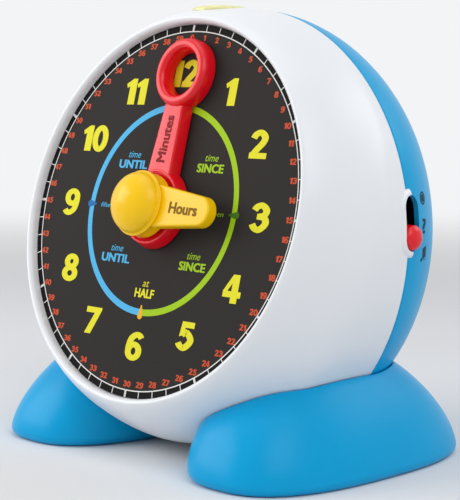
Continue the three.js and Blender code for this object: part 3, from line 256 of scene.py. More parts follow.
def arc(centre: tuple[float, float], radius: float, start: float, end: float,
        steps: int) -> list[tuple[float, float]]:
    """Returns points of an arc in degrees, both ends among them."""
    angles = np.radians(np.linspace(start, end, steps + 1))
    return [(centre[0] + radius * cos(a), centre[1] + radius * sin(a)) for a in angles]


def make_object(name: str, shape: Shape, sharp_deg: float = SHARP_DEG) -> Object:
    """Makes an object of a shape, with its faces pointing outwards and its soft edges smooth.

    Args:
        name: the piece's name.
        shape: its points and faces in millimetres.
        sharp_deg: edges that turn more than this stay sharp.

    Returns:
        The object, at the origin.
    """
    mesh = bpy.data.meshes.new(name)
    mesh.from_pydata((shape.points * MM).tolist(), [], shape.faces)
    body = bmesh.new()
    body.from_mesh(mesh)
    bmesh.ops.remove_doubles(body, verts=body.verts, dist=MERGE_MM * MM)
    bmesh.ops.recalc_face_normals(body, faces=body.faces)
    body.to_mesh(mesh)
    body.free()
    obj = bpy.data.objects.new(name, mesh)
    bpy.context.scene.collection.objects.link(obj)
    soften(obj, sharp_deg)
    return obj


def soften(obj: Object, sharp_deg: float = SHARP_DEG) -> None:
    """Shades an object smooth apart from the edges that turn more than an angle."""
    obj.data.polygons.foreach_set("use_smooth", [True] * len(obj.data.polygons))
    obj.data.set_sharp_from_angle(angle=radians(sharp_deg))


def settle(obj: Object, name: str) -> Object:
    """Turns an object with its modifiers into a plain mesh object of the same place.

    Args:
        obj: the object, which is removed.
        name: the new object's name.

    Returns:
        The plain object.
    """
    bpy.context.view_layer.update()
    graph = bpy.context.evaluated_depsgraph_get()
    mesh = bpy.data.meshes.new_from_object(obj.evaluated_get(graph), depsgraph=graph)
    bpy.data.objects.remove(obj)
    mesh.name = name
    plain = bpy.data.objects.new(name, mesh)
    bpy.context.scene.collection.objects.link(plain)
    return plain


def combine(obj: Object, tool: Shape, operation: str = "DIFFERENCE") -> Object:
    """Cuts an object with a shape, joins it or keeps what both hold.

    Args:
        obj: the object that is changed.
        tool: the shape, in millimetres.
        operation: DIFFERENCE, UNION or INTERSECT.

    Returns:
        The changed object.
    """
    name = obj.name
    cutter = make_object("tool", tool)
    modifier = obj.modifiers.new("combine", "BOOLEAN")
    modifier.operation = operation
    modifier.solver = "EXACT"
    modifier.object = cutter
    plain = settle(obj, name)
    plain.name = name
    bpy.data.objects.remove(cutter)
    soften(plain)
    return plain


def shape_of(obj: Object) -> Shape:
    """Takes an object's mesh as a shape and removes the object.

    Args:
        obj: the object.

    Returns:
        Its mesh in millimetres.
    """
    points = np.array([v.co[:] for v in obj.data.vertices]) / MM
    faces = [tuple(p.vertices) for p in obj.data.polygons]
    bpy.data.objects.remove(obj)
    return Shape(points, faces)


def cylinder(start: Sequence[float], end: Sequence[float], radius: float, sides: int = 48) -> Shape:
    """Makes a round bar.

    Args:
        start: the middle of one end.
        end: the middle of the other end.
        radius: of the bar.
        sides: steps round it.

    Returns:
        The bar.
    """
    along = Vector(end) - Vector(start)
    turn = along.to_track_quat("Z", "Y").to_matrix().to_4x4()
    return turned([(0, 0), (radius, 0), (radius, along.length), (0, along.length)], sides,
                  Matrix.Translation(start) @ turn)


def rectangle(half_x: float, half_y: float) -> np.ndarray:
    """Returns the corners of a rectangle about the origin, in turn."""
    return np.array([(-half_x, -half_y), (half_x, -half_y), (half_x, half_y), (-half_x, half_y)])


def oval(centre: tuple[float, float], half_width: float, half_height: float,
         count: int = 12) -> list[tuple[float, float]]:
    """Returns points of an oval, in turn."""
    return [(centre[0] + half_width * cos(a), centre[1] + half_height * sin(a))
            for a in np.arange(count) / count * TURN]


@dataclass(frozen=True)
class Word:
    """A word in the built-in font: its letters, its whole size, its weight and its lean to the right.

    The weight is how much wider its strokes are than the font's, in shares of the font's size.
    """

    letters: str
    width: float
    height: float
    weight: float = 0.0
    slant: float = 0.0
    curve_steps: int = 3

    def shape(self, thickness: float) -> Shape:
        """Sets the word, centred on the origin in the XY plane.

        Args:
            thickness: of the ink.

        Returns:
            The word as a thin shape.
        """
        curve = bpy.data.curves.new("word", "FONT")
        curve.body = self.letters
        curve.shear = self.slant
        curve.extrude = 0.5
        curve.resolution_u = self.curve_steps
        plain = shape_of(settle(bpy.data.objects.new("word", curve), "word"))
        bold = self.weight / MM
        shifts = BOLD_SHIFTS if self.weight else BOLD_SHIFTS[-1:]
        copies = [plain.moved(Matrix.Translation((x * bold, y * bold, HAIR / MM * i)))
                  for i, (x, y) in enumerate(shifts)]
        shape = copies[0].plus(*copies[1:])
        low, high = shape.points.min(axis=0), shape.points.max(axis=0)
        size = np.array([self.width, self.height, thickness])
        shape.points = (shape.points - (low + high) / 2) * (size / (high - low))
        return shape

@dataclass(frozen=True)
class Stroke:
    """One stroke of a figure: the points that its middle line runs through."""

    points: Sequence[tuple[float, float]]
    closed: bool = False


@dataclass(frozen=True)
class Slab:
    """A straight-sided piece of a figure."""

    points: Sequence[tuple[float, float]]


@dataclass
class Figures:
    """Plain bold figures drawn with a broad oval pen, which makes upright strokes heavier than level ones.

    They are drawn 13 mm tall about the middle of their height.
    """

    upright: float = 4.1
    level: float = 2.7
    tall: float = 13.0
    space: float = 0.3
    steps: int = 6
    made: dict = field(default_factory=dict)
    drawings: dict = field(default_factory=lambda: {
        "0": [Stroke(oval((0, 0), 3.85, 5.45), True)],
        "1": [Slab([(-1.2, -6.5), (3.75, -6.5), (3.75, 6.5), (0.8, 6.5), (-3.75, 3.9), (-3.0, 1.9),
                    (-1.2, 2.6)])],
        "2": [Stroke([(-4.1, 2.8), (-2.7, 4.7), (0.2, 5.45), (2.9, 3.4), (2.1, 0.8), (-0.8, -2.1),
                      (-3.2, -4.7)]),
              Slab([(-5.4, -6.5), (5.4, -6.5), (5.4, -3.8), (-5.4, -3.8)])],
        "3": [Stroke([(-4.3, 3.2), (-2.7, 4.9), (0.2, 5.45), (3.0, 3.5), (2.1, 1.2), (-0.7, 0.5)]),
              Stroke([(-0.7, 0.4), (2.4, -0.1), (3.5, -2.6), (0.2, -5.45), (-2.9, -4.8), (-4.5, -3.1)]),
              Slab([(-2.3, -0.9), (0.9, -0.9), (0.9, 1.7), (-2.3, 1.7)])],
        "4": [Slab([(-0.4, -6.5), (3.7, -6.5), (3.7, 6.5), (-0.4, 6.5)]),
              Slab([(-5.6, -3.9), (5.6, -3.9), (5.6, -1.1), (-5.6, -1.1)]),
              Slab([(-5.6, -2.0), (-3.5, -2.0), (2.2, 6.45), (-0.5, 6.45), (-5.6, -1.15)])],
        "5": [Slab([(-3.6, 3.75), (4.5, 3.75), (4.5, 6.5), (-3.6, 6.5)]),
              Slab([(-4.5, -0.6), (-1.5, 0.3), (-0.9, 6.45), (-3.6, 6.45)]),
              Stroke([(-2.8, 0.3), (0.0, 1.6), (3.4, -1.8), (0.0, -5.45), (-3.0, -4.8), (-4.4, -3.4)])],
        "6": [Stroke(oval((0, -2.3), 3.65, 3.15), True),
              Stroke([(4.2, 4.1), (2.7, 5.3), (0.2, 5.45), (-2.6, 3.5), (-3.65, 0.0), (-3.65, -2.3)])],
        "7": [Slab([(-4.7, -6.5), (-0.2, -6.5), (5.6, 5.3), (5.6, 6.5), (-5.6, 6.5), (-5.6, 3.7),
                    (0.7, 3.7)])],
        "8": [Stroke(oval((0, 3.05), 3.3, 2.55), True), Stroke(oval((0, -2.85), 3.9, 2.75), True)],
    })

    def line(self, stroke: Stroke) -> np.ndarray:
        """Rounds a stroke's middle line through its points.

        Args:
            stroke: the stroke.

        Returns:
            Points of the line, in turn.
        """
        knots = np.array(stroke.points, dtype=float)
        if stroke.closed:
            before, after = knots[-1:], knots[:2]
        else:
            before, after = 2 * knots[:1] - knots[1:2], 2 * knots[-1:] - knots[-2:-1]
        padded = np.vstack([before, knots, after])
        shares = np.arange(self.steps)[:, None] / self.steps
        spans = [0.5 * (2 * b + (c - a) * shares + (2 * a - 5 * b + 4 * c - d) * shares ** 2
                        + (3 * b - a - 3 * c + d) * shares ** 3)
                 for a, b, c, d in zip(padded, padded[1:], padded[2:], padded[3:])]
        return np.vstack(spans if stroke.closed else spans + [knots[-1:]])

    def solid(self, piece: "Stroke | Slab", half: float) -> Shape:
        """Turns one piece of a figure into a bar.

        Args:
            piece: the stroke or slab.
            half: half of the bar's thickness.

        Returns:
            The bar.
        """
        if isinstance(piece, Slab):
            return rounded_plate(np.array(piece.points), -half, half, 0.0, 1)
        line = self.line(piece)
        if piece.closed:
            along = np.roll(line, -1, axis=0) - np.roll(line, 1, axis=0)
        else:
            along = np.gradient(line, axis=0)
        normal = np.column_stack([-along[:, 1], along[:, 0]])
        normal /= np.linalg.norm(normal, axis=1)[:, None]
        pen = np.array([self.upright, self.level]) / 2
        reach = normal * pen ** 2 / np.linalg.norm(normal * pen, axis=1)[:, None]
        low, high = np.full((len(line), 1), -half), np.full((len(line), 1), half)
        section = [np.hstack([line - reach, low]), np.hstack([line + reach, low]),
                   np.hstack([line + reach, high]), np.hstack([line - reach, high])]
        shape = grid_shape(np.stack(section, axis=1), closed=piece.closed)
        if not piece.closed:
            total = len(shape.points)
            shape.faces += [(0, 1, 2, 3), (total - 4, total - 3, total - 2, total - 1)]
        return shape

    def figure(self, name: str) -> Shape:
        """Gives one figure, drawn at its first use. A nine is a six turned round.

        Args:
            name: the figure.

        Returns:
            Its shape.
        """
        if name not in self.made:
            if name == "9":
                self.made[name] = self.figure("6").moved(Matrix.Rotation(pi, 4, "Z"))
            else:
                # No two pieces are as thick, so that no two faces share a plane where they cross.
                solids = [self.solid(piece, 0.5 - HAIR * i) for i, piece in enumerate(self.drawings[name])]
                self.made[name] = solids[0].plus(*solids[1:])
        return self.made[name]

    def number(self, value: int, height: float, thickness: float) -> Shape:
        """Sets a number centred on the origin.

        Args:
            value: the number.
            height: height of its figures.
            thickness: of the ink.

        Returns:
            The number as a thin shape.
        """
        shapes, reach = [], 0.0
        for name in str(value):
            shape = self.figure(name)
            low, high = shape.points[:, 0].min(), shape.points[:, 0].max()
            shapes.append(shape.moved(Matrix.Translation((reach - low, 0, 0))))
            reach += high - low + self.space
        whole = shapes[0].plus(*shapes[1:])
        scale = height / self.tall
        whole.points = (whole.points - [(reach - self.space) / 2, 0, 0]) * [scale, scale, thickness]
        return whole


FIGURES = Figures()


def finish_piece(obj: Object, finish: "Finish", body: Body, slot: str,
                 *nodes: str) -> Object:
    """Gives a piece its finish, hangs it on the body that it rides on and hides the nodes that it replaces.

    Args:
        obj: the finished object.
        finish: its finish.
        body: what it rides on.
        slot: not used.
        nodes: the construction's nodes that it replaces.

    Returns:
        The object.
    """
    obj.data.materials.clear()
    obj.data.materials.append(finish.material())
    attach(obj, body.value)
    if nodes:
        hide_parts(*nodes)
    LOG.info("%s: %d faces on %s", obj.name, len(obj.data.polygons), body.value)
    return obj


# Geometry trees


def geometry_tree(name: str, sizes: dict[str, float], takes_points: bool = False) -> NodeTree:
    """Starts a geometry tree whose named inputs hold sizes.

    Args:
        name: the tree's name.
        sizes: each input's name and its value, in metres.
        takes_points: the tree also takes geometry in.

    Returns:
        The tree, still without nodes.
    """
    tree = bpy.data.node_groups.new(name, "GeometryNodeTree")
    tree.interface.new_socket("Geometry", in_out="OUTPUT", socket_type="NodeSocketGeometry")
    if takes_points:
        tree.interface.new_socket("Geometry", in_out="INPUT", socket_type="NodeSocketGeometry")
    for label, value in sizes.items():
        socket = tree.interface.new_socket(label, in_out="INPUT", socket_type="NodeSocketFloat")
        socket.default_value = value
    return tree


def end_tree(tree: NodeTree, geometry: NodeSocket, finish: "Finish") -> None:
    """Ends a geometry tree in real meshes of one material.

    Args:
        tree: the tree.
        geometry: the socket that gives its instances.
        finish: the finish of what it makes.
    """
    real = add_node(tree, "GeometryNodeRealizeInstances", {0: geometry})
    dressed = add_node(tree, "GeometryNodeSetMaterial", {
        "Geometry": real.outputs[0], "Material": finish.material()})
    add_node(tree, "NodeGroupOutput", {0: dressed.outputs[0]})


def grown_from(tree: NodeTree, name: str,
               points: Optional[Mesh] = None) -> Object:
    """Runs a geometry tree.

    Args:
        tree: the geometry tree, whose inputs keep their defaults.
        name: the new object's name.
        points: the mesh that it starts from, or None for an empty one.

    Returns:
        The result as a plain mesh object.
    """
    obj = bpy.data.objects.new(name, points or bpy.data.meshes.new(name))
    bpy.context.scene.collection.objects.link(obj)
    modifier = obj.modifiers.new(name, "NODES")
    modifier.node_group = tree
    for item in tree.interface.items_tree:
        if item.in_out == "INPUT" and item.socket_type == "NodeSocketFloat":
            modifier[item.identifier] = item.default_value
    return settle(obj, name)


# Finishes


@dataclass(frozen=True)
class Finish:
    """A finish whose node material is made once and shared."""

    name: str

    def material(self) -> Material:
        """Gives the material, made at its first use.

        Returns:
            The material.
        """
        found = bpy.data.materials.get(self.name)
        if found:
            return found
        made = bpy.data.materials.new(self.name)
        made.use_nodes = True
        tree = made.node_tree
        tree.nodes.clear()
        place = add_node(tree, "ShaderNodeTexCoord").outputs["Object"]
        principled = add_node(tree, "ShaderNodeBsdfPrincipled", self.inputs(tree, place))
        add_node(tree, "ShaderNodeOutputMaterial", {"Surface": principled.outputs[0]})
        return made

    def inputs(self, tree: NodeTree, place: NodeSocket) -> dict:
        """Builds the patterns in a tree, on the object's coordinates, and gives the shader's inputs."""
        raise NotImplementedError


@dataclass(frozen=True)
class MouldedPlastic(Finish):
    """Injection-moulded ABS: an even colour with faint flow clouds, and gloss that waves like orange peel."""

    colour: str = "#ffffff"
    cloud: str = "#eeeeee"
    roughness: float = 0.26
    scuff: float = 0.01
    noise_low: float = 0.3
    noise_high: float = 0.7
    ior: float = 1.53
    shine: float = 0.5
    clear: float = 0.0
    glow: float = 0.0
    glow_mm: float = 2.0
    glow_shares: tuple[float, float, float] = (1.0, 0.8, 0.5)
    cloud_mm: float = 45.0
    scuff_mm: float = 9.0
    peel_mm: float = 2.4
    peel_depth_mm: float = 0.0005

    def inputs(self, tree: NodeTree, place: NodeSocket) -> dict:
        """Builds the flow clouds, the scuffs and the orange peel.

        Args:
            tree: the material's tree.
            place: the object's own coordinates.

        Returns:
            The shader's input names, each with a value or a socket.
        """
        cloud = add_node(tree, "ShaderNodeTexNoise", {
            "Vector": place, "Scale": 1 / (self.cloud_mm * MM), "Detail": 3.0})
        colour = add_node(tree, "ShaderNodeMix", {
            0: cloud.outputs["Fac"], 6: linear(self.colour), 7: linear(self.cloud)}, data_type="RGBA")
        scuff = add_node(tree, "ShaderNodeTexNoise", {
            "Vector": place, "Scale": 1 / (self.scuff_mm * MM), "Detail": 3.0, "Roughness": 0.5})
        rough = add_node(tree, "ShaderNodeMapRange", {
            0: scuff.outputs["Fac"], 1: self.noise_low, 2: self.noise_high,
            3: self.roughness - self.scuff, 4: self.roughness + self.scuff})
        peel = add_node(tree, "ShaderNodeTexNoise", {
            "Vector": place, "Scale": 1 / (self.peel_mm * MM), "Detail": 2.0})
        bump = add_node(tree, "ShaderNodeBump", {
            "Height": peel.outputs["Fac"], "Distance": self.peel_depth_mm * MM, "Strength": 1.0})
        return {
            "Base Color": colour.outputs[2],
            "Roughness": rough.outputs[0],
            "IOR": self.ior,
            "Specular IOR Level": self.shine,
            "Transmission Weight": self.clear,
            "Subsurface Weight": self.glow,
            "Subsurface Radius": self.glow_shares,
            "Subsurface Scale": self.glow_mm * MM,
            "Normal": bump.outputs[0],
        }


@dataclass(frozen=True)
class PrintedDial(Finish):
    """A screen-printed satin sheet: dull charcoal, darker past the minute ring.

    The grain of the screen is about 0.1 mm, too fine to show, so it is drawn 0.35 mm wide.
    """

    colour: str = "#302d2b"
    band: str = "#1a1817"
    grain: str = "#33302e"
    roughness: float = 0.6
    ior: float = 1.48
    shine: float = 0.06
    ring_mm: float = 86.6
    grain_mm: float = 0.35
    grain_depth_mm: float = 0.01

    def inputs(self, tree: NodeTree, place: NodeSocket) -> dict:
        """Builds the grain and the darker band, which is measured from the dial's middle.

        Args:
            tree: the material's tree.
            place: the object's own coordinates.

        Returns:
            The shader's input names, each with a value or a socket.
        """
        turn = DRUM.dial_matrix().inverted()
        dial = add_node(tree, "ShaderNodeMapping", {
            "Vector": place, "Location": turn.translation * MM, "Rotation": turn.to_euler()})
        split = add_node(tree, "ShaderNodeSeparateXYZ", {0: dial.outputs[0]})
        flat = add_node(tree, "ShaderNodeCombineXYZ", {0: split.outputs[0], 1: split.outputs[1]})
        radius = add_node(tree, "ShaderNodeVectorMath", {0: flat.outputs[0]}, operation="LENGTH")
        past = add_node(tree, "ShaderNodeMath", {
            0: radius.outputs["Value"], 1: self.ring_mm * MM}, operation="GREATER_THAN")
        grain = add_node(tree, "ShaderNodeTexNoise", {
            "Vector": place, "Scale": 1 / (self.grain_mm * MM), "Detail": 2.0})
        sheet = add_node(tree, "ShaderNodeMix", {
            0: grain.outputs["Fac"], 6: linear(self.colour), 7: linear(self.grain)}, data_type="RGBA")
        colour = add_node(tree, "ShaderNodeMix", {
            0: past.outputs[0], 6: sheet.outputs[2], 7: linear(self.band)}, data_type="RGBA")
        bump = add_node(tree, "ShaderNodeBump", {
            "Height": grain.outputs["Fac"], "Distance": self.grain_depth_mm * MM, "Strength": 0.6})
        return {
            "Base Color": colour.outputs[2],
            "Roughness": self.roughness,
            "IOR": self.ior,
            "Specular IOR Level": self.shine,
            "Normal": bump.outputs[0],
        }


@dataclass(frozen=True)
class Ink(Finish):
    """Screen-printed ink: an opaque colour with a slightly uneven film."""

    colour: str = "#ffffff"
    thin: str = "#eeeeee"
    roughness: float = 0.55
    ior: float = 1.5
    shine: float = 0.15
    film_mm: float = 1.4

    def inputs(self, tree: NodeTree, place: NodeSocket) -> dict:
        """Builds the uneven film.

        Args:
            tree: the material's tree.
            place: the object's own coordinates.

        Returns:
            The shader's input names, each with a value or a socket.
        """
        film = add_node(tree, "ShaderNodeTexNoise", {
            "Vector": place, "Scale": 1 / (self.film_mm * MM), "Detail": 3.0})
        colour = add_node(tree, "ShaderNodeMix", {
            0: film.outputs["Fac"], 6: linear(self.colour), 7: linear(self.thin)}, data_type="RGBA")
        return {"Base Color": colour.outputs[2], "Roughness": self.roughness, "IOR": self.ior,
                "Specular IOR Level": self.shine}


@dataclass(frozen=True)
class PlatedSteel(Finish):
    """Zinc-plated steel: bright metal whose gloss is broken by fine brushing.

    Brush marks are about 0.05 mm wide, too fine to show, so they are drawn 0.4 mm wide.
    """

    colour: str = "#b9bdc2"
    smooth: float = 0.24
    brushed: float = 0.42
    brush_mm: float = 0.4

    def inputs(self, tree: NodeTree, place: NodeSocket) -> dict:
        """Builds the brushing.

        Args:
            tree: the material's tree.
            place: the object's own coordinates.

        Returns:
            The shader's input names, each with a value or a socket.
        """
        brush = add_node(tree, "ShaderNodeTexNoise", {
            "Vector": place, "Scale": 1 / (self.brush_mm * MM), "Detail": 4.0})
        rough = add_node(tree, "ShaderNodeMapRange", {
            0: brush.outputs["Fac"], 3: self.smooth, 4: self.brushed})
        return {"Base Color": linear(self.colour), "Metallic": 1.0, "Roughness": rough.outputs[0]}


@dataclass(frozen=True)
class SolderMask(Finish):
    """Circuit board: green mask over copper tracks that show as paler bands."""

    colour: str = "#1f6b3a"
    track: str = "#2f8449"
    roughness: float = 0.4
    brick_mm: float = 10.0
    track_share: float = 0.03

    def inputs(self, tree: NodeTree, place: NodeSocket) -> dict:
        """Builds the tracks.

        Args:
            tree: the material's tree.
            place: the object's own coordinates.

        Returns:
            The shader's input names, each with a value or a socket.
        """
        mask = linear(self.colour)
        tracks = add_node(tree, "ShaderNodeTexBrick", {
            "Vector": place, "Color1": mask, "Color2": mask, "Mortar": linear(self.track),
            "Scale": 1 / (self.brick_mm * MM), "Mortar Size": self.track_share})
        return {"Base Color": tracks.outputs[0], "Roughness": self.roughness}


@dataclass(frozen=True)
class PressedPaper(Finish):
    """Speaker cone of pressed paper: dark and matt, with a felted look.

    Paper fibres are about 0.1 mm wide, too fine to show, so they are drawn 0.8 mm wide.
    """

    colour: str = "#2a2a2c"
    fibre: str = "#3b3b3d"
    roughness: float = 0.9
    fibre_mm: float = 0.8
    fibre_depth_mm: float = 0.05

    def inputs(self, tree: NodeTree, place: NodeSocket) -> dict:
        """Builds the fibres.

        Args:
            tree: the material's tree.
            place: the object's own coordinates.

        Returns:
            The shader's input names, each with a value or a socket.
        """
        fibre = add_node(tree, "ShaderNodeTexNoise", {
            "Vector": place, "Scale": 1 / (self.fibre_mm * MM), "Detail": 8.0})
        colour = add_node(tree, "ShaderNodeMix", {
            0: fibre.outputs["Fac"], 6: linear(self.colour), 7: linear(self.fibre)}, data_type="RGBA")
        bump = add_node(tree, "ShaderNodeBump", {
            "Height": fibre.outputs["Fac"], "Distance": self.fibre_depth_mm * MM})
        return {"Base Color": colour.outputs[2], "Roughness": self.roughness, "Normal": bump.outputs[0]}


# White ABS, moulded and glossy: the eye gets an even white with soft, wide reflections.
WHITE_ABS = MouldedPlastic("white_abs", "#eff1f4", "#ebeef2", roughness=0.3, shine=0.4, cloud_mm=80)
# Sky blue ABS, moulded: a full, even colour whose gloss is a little duller than the white's.
BLUE_ABS = MouldedPlastic("sky_blue_abs", "#04a6dd", "#04a1d9", roughness=0.32, shine=0.13)
# The same ABS from a spark-eroded mould: a fine matt texture. The real one is about 0.1 mm wide, too fine to
# show, so it is drawn 0.8 mm wide.
BLUE_TEXTURED = MouldedPlastic("sky_blue_textured_abs", "#0a95d3", "#088fcd", roughness=0.5, shine=0.1,
                               peel_mm=0.8, peel_depth_mm=0.02)
# Red and yellow ABS from polished moulds: strong colours with small, crisp highlights.
RED_ABS = MouldedPlastic("red_abs", "#ec0d20", "#e60a1c", roughness=0.24, cloud_mm=20, shine=0.4)
YELLOW_ABS = MouldedPlastic("yellow_abs", "#ffcf04", "#ffc902", roughness=0.24, cloud_mm=20, shine=0.3)
# Clear ABS tinted pale yellow: light goes into it and comes out again, so that it seems to glow.
CLEAR_YELLOW = MouldedPlastic("pale_yellow_clear_abs", "#fff9b4", "#fdf5ac", roughness=0.16, clear=0.15,
                              glow=0.3)
# Black ABS as moulded: dark grey with a dull sheen.
BLACK_ABS = MouldedPlastic("black_abs", "#1c1c1e", "#222224", roughness=0.45)
# Acetal as moulded: a warm, waxy off-white.
ACETAL = MouldedPlastic("natural_acetal", "#dcdcd4", "#d6d6ce", roughness=0.42)
# Cast epoxy: a clear lens with a wet gloss.
CLEAR_EPOXY = MouldedPlastic("clear_epoxy", "#f5f7ff", "#eef1fb", roughness=0.1, clear=0.6)
# Shrunk PVC film round a cell: a plain slate grey, smooth and glossy.
CELL_JACKET = MouldedPlastic("cell_jacket_film", "#4a5560", "#414b55", roughness=0.3)
DIAL_SHEET = PrintedDial("charcoal_dial_print")
STEEL = PlatedSteel("zinc_plated_steel")
BOARD = SolderMask("green_solder_mask")
PAPER = PressedPaper("pressed_paper")
# Screen inks: flat, satin colours that cover what lies under them.
WHITE_INK = Ink("white_ink", "#f4f4f0", "#e6e6e2")
YELLOW_INK = Ink("yellow_ink", "#ece52b", "#e4dc26")
ORANGE_INK = Ink("orange_red_ink", "#d5532c", "#c84b27")
BLUE_INK = Ink("sky_blue_ink", "#55bcec", "#4db2e4")
DEEP_BLUE_INK = Ink("deep_blue_ink", "#1e6fae", "#1b68a5")
GREEN_INK = Ink("leaf_green_ink", "#a8d013", "#9dc50f")
DEEP_GREEN_INK = Ink("deep_green_ink", "#4c7a1c", "#457019")
AMBER_INK = Ink("amber_ink", "#f3b92c", "#ecb026")
NAVY_INK = Ink("navy_ink", "#12384f", "#0f3147")
DARK_RED_INK = Ink("dark_red_ink", "#8d1018", "#820e16")
MUSTARD_INK = Ink("dark_mustard_ink", "#8a6408", "#7e5b07")


# The drum, whose form the housings, the feet and the dial share


@dataclass(frozen=True)
class Drum:
    """A round drum that leans back, met by an upright seam, with a domed rear."""

    dial_height: float = 118.7
    set_forward: float = 46.9
    lean: float = radians(14.4)
    seam_setback: float = 57.4
    wall: float = 2.5
    lip_radius: float = 92.5
    lip_rise: float = 4.6
    lip_foot: float = 1.6
    bulge_radius: float = 107.6
    bulge_depth: float = 35.5
    bulge_exponent: float = 1.42
    bulge_blend: float = 12.0
    narrowing: float = 0.155
    rear_depth: float = 53.0
    rear_exponent: float = 1.75
    rear_flat: float = 0.58
    seam_groove: float = 0.4
    seam_edge: float = 0.5
    gap: float = 0.3
    sides: int = 240
    settling: int = 24
    halvings: int = 40
    outline_steps: int = 720
    under_low: float = -20.0
    under_share: float = 0.8

    @property
    def seam_y(self) -> float:
        """Place of the seam along Y."""
        return self.seam_setback - self.set_forward

    @property
    def rear_face(self) -> float:
        """Place of the rear housing's edge at the seam along Y."""
        return self.seam_y + self.seam_groove / 2

    @property
    def angles(self) -> np.ndarray:
        """Angles round the drum from its top."""
        return np.arange(self.sides) / self.sides * TURN

    def dial_matrix(self) -> Matrix:
        """Turns the dial's own frame, whose z points out of the dial and y up it, into the clock's."""
        middle = Matrix.Translation((0, -self.set_forward, self.dial_height))
        return middle @ Matrix.Rotation(pi / 2 - self.lean, 4, "X")

    def radius(self, depth: np.ndarray) -> np.ndarray:
        """Radius of the skin.

        Args:
            depth: depths behind the dial.

        Returns:
            The radius at each depth.
        """
        depth = np.asarray(depth, dtype=float)
        travel = np.clip((depth + self.lip_rise) / (self.bulge_depth + self.lip_rise), 0, 1)
        swell = (1 - (1 - travel) ** self.bulge_exponent) ** (1 / self.bulge_exponent)
        past = depth - self.bulge_depth
        eased = np.clip(past + self.bulge_blend, 0, 2 * self.bulge_blend) ** 2 / (4 * self.bulge_blend)
        narrow = self.narrowing * np.maximum(past, eased)
        return self.lip_radius + (self.bulge_radius - self.lip_radius) * swell - narrow

    def depth_at(self, setback: float, angles: np.ndarray, outset: float) -> np.ndarray:
        """Depth behind the dial where the skin passes a setback.

        Args:
            setback: how far behind the middle of the dial, along Y.
            angles: places round the drum.
            outset: how far the skin is moved outwards.

        Returns:
            The depth at each angle.
        """
        depth = np.full(len(angles), float(setback))
        for _ in range(self.settling):
            rise = (self.radius(depth) + outset) * np.cos(angles)
            depth = (setback - rise * sin(self.lean)) / cos(self.lean)
        return depth

    def ring(self, radius: np.ndarray, depth: np.ndarray, angles: np.ndarray) -> np.ndarray:
        """Brings points of the dial's frame into the clock's.

        Args:
            radius: one for all points, or one for each.
            depth: behind the dial, one for all points or one for each.
            angles: places round the drum.

        Returns:
            The points.
        """
        radius, depth = radius + 0 * angles, depth + 0 * angles
        rise = radius * np.cos(angles)
        return np.stack([
            radius * np.sin(angles),
            -self.set_forward + rise * sin(self.lean) + depth * cos(self.lean),
            self.dial_height + rise * cos(self.lean) - depth * sin(self.lean),
        ], axis=-1)

    def seam_ring(self, outset: float, y: float, scale: float = 1.0,
                  angles: Optional[np.ndarray] = None) -> np.ndarray:
        """The seam's outline, set at a place along Y.

        Args:
            outset: how far it is moved outwards.
            y: the place.
            scale: its size about its middle.
            angles: places round the drum, or None for the drum's own.

        Returns:
            The outline's points.
        """
        angles = self.angles if angles is None else angles
        depth = self.depth_at(self.seam_setback, angles, outset)
        ring = self.ring(self.radius(depth) + outset, depth, angles)
        ring[:, 1] = y
        ring[:, 0] *= scale
        ring[:, 2] = self.seam_middle + (ring[:, 2] - self.seam_middle) * scale
        return ring

    @property
    def seam_middle(self) -> float:
        """Height of the middle of the seam's outline.

        Returns:
            The height.
        """
        ends = np.array([0.0, pi])
        depth = self.depth_at(self.seam_setback, ends, 0)
        return float(self.ring(self.radius(depth), depth, ends)[:, 2].mean())

    def rear_scale(self, depth: np.ndarray) -> np.ndarray:
        """Scale of the rear dome's outline.

        Args:
            depth: depths behind the rear housing's edge.

        Returns:
            The scale at each depth.
        """
        share = np.clip(np.asarray(depth, dtype=float) / self.rear_depth, 0, 1)
        curve = (1 - share ** self.rear_exponent) ** (1 / self.rear_exponent)
        return self.rear_flat + (1 - self.rear_flat) * curve

    def inside(self, points: np.ndarray, outset: float) -> np.ndarray:
        """How far points lie inside the drum, below zero outside it.

        Args:
            points: the points.
            outset: how far the skin is moved outwards.

        Returns:
            One length for each point.
        """
        x, y, z = points[..., 0], points[..., 1] + self.set_forward, points[..., 2] - self.dial_height
        rise = y * sin(self.lean) + z * cos(self.lean)
        depth = y * cos(self.lean) - z * sin(self.lean)
        front = np.minimum(self.radius(depth) + outset - np.hypot(x, rise), depth + self.lip_rise + outset)
        table = self.seam_ring(outset, 0, angles=np.linspace(0, TURN, self.outline_steps + 1))
        bearing = np.unwrap(np.arctan2(table[:, 0], table[:, 2] - self.seam_middle))
        reach = np.hypot(table[:, 0], table[:, 2] - self.seam_middle)
        up = points[..., 2] - self.seam_middle
        outline = np.interp(np.mod(np.arctan2(points[..., 0], up), TURN), bearing, reach)
        behind = points[..., 1] - self.seam_y - self.seam_groove / 2
        rear = outline * self.rear_scale(behind) - np.hypot(points[..., 0], up)
        return np.where(behind < 0, front, rear)

    def underside(self, flat: np.ndarray, outset: float) -> np.ndarray:
        """Height of the drum's underside.

        Args:
            flat: points of the floor.
            outset: how far the skin is moved outwards.

        Returns:
            The height over each point.
        """
        low = np.full(len(flat), self.under_low)
        high = np.full(len(flat), self.dial_height * self.under_share)
        for _ in range(self.halvings):
            middle = (low + high) / 2
            inner = self.inside(np.column_stack([flat, middle]), outset) > 0
            high = np.where(inner, middle, high)
            low = np.where(inner, low, middle)
        return (low + high) / 2


DRUM = Drum()


# Sub-assemblies


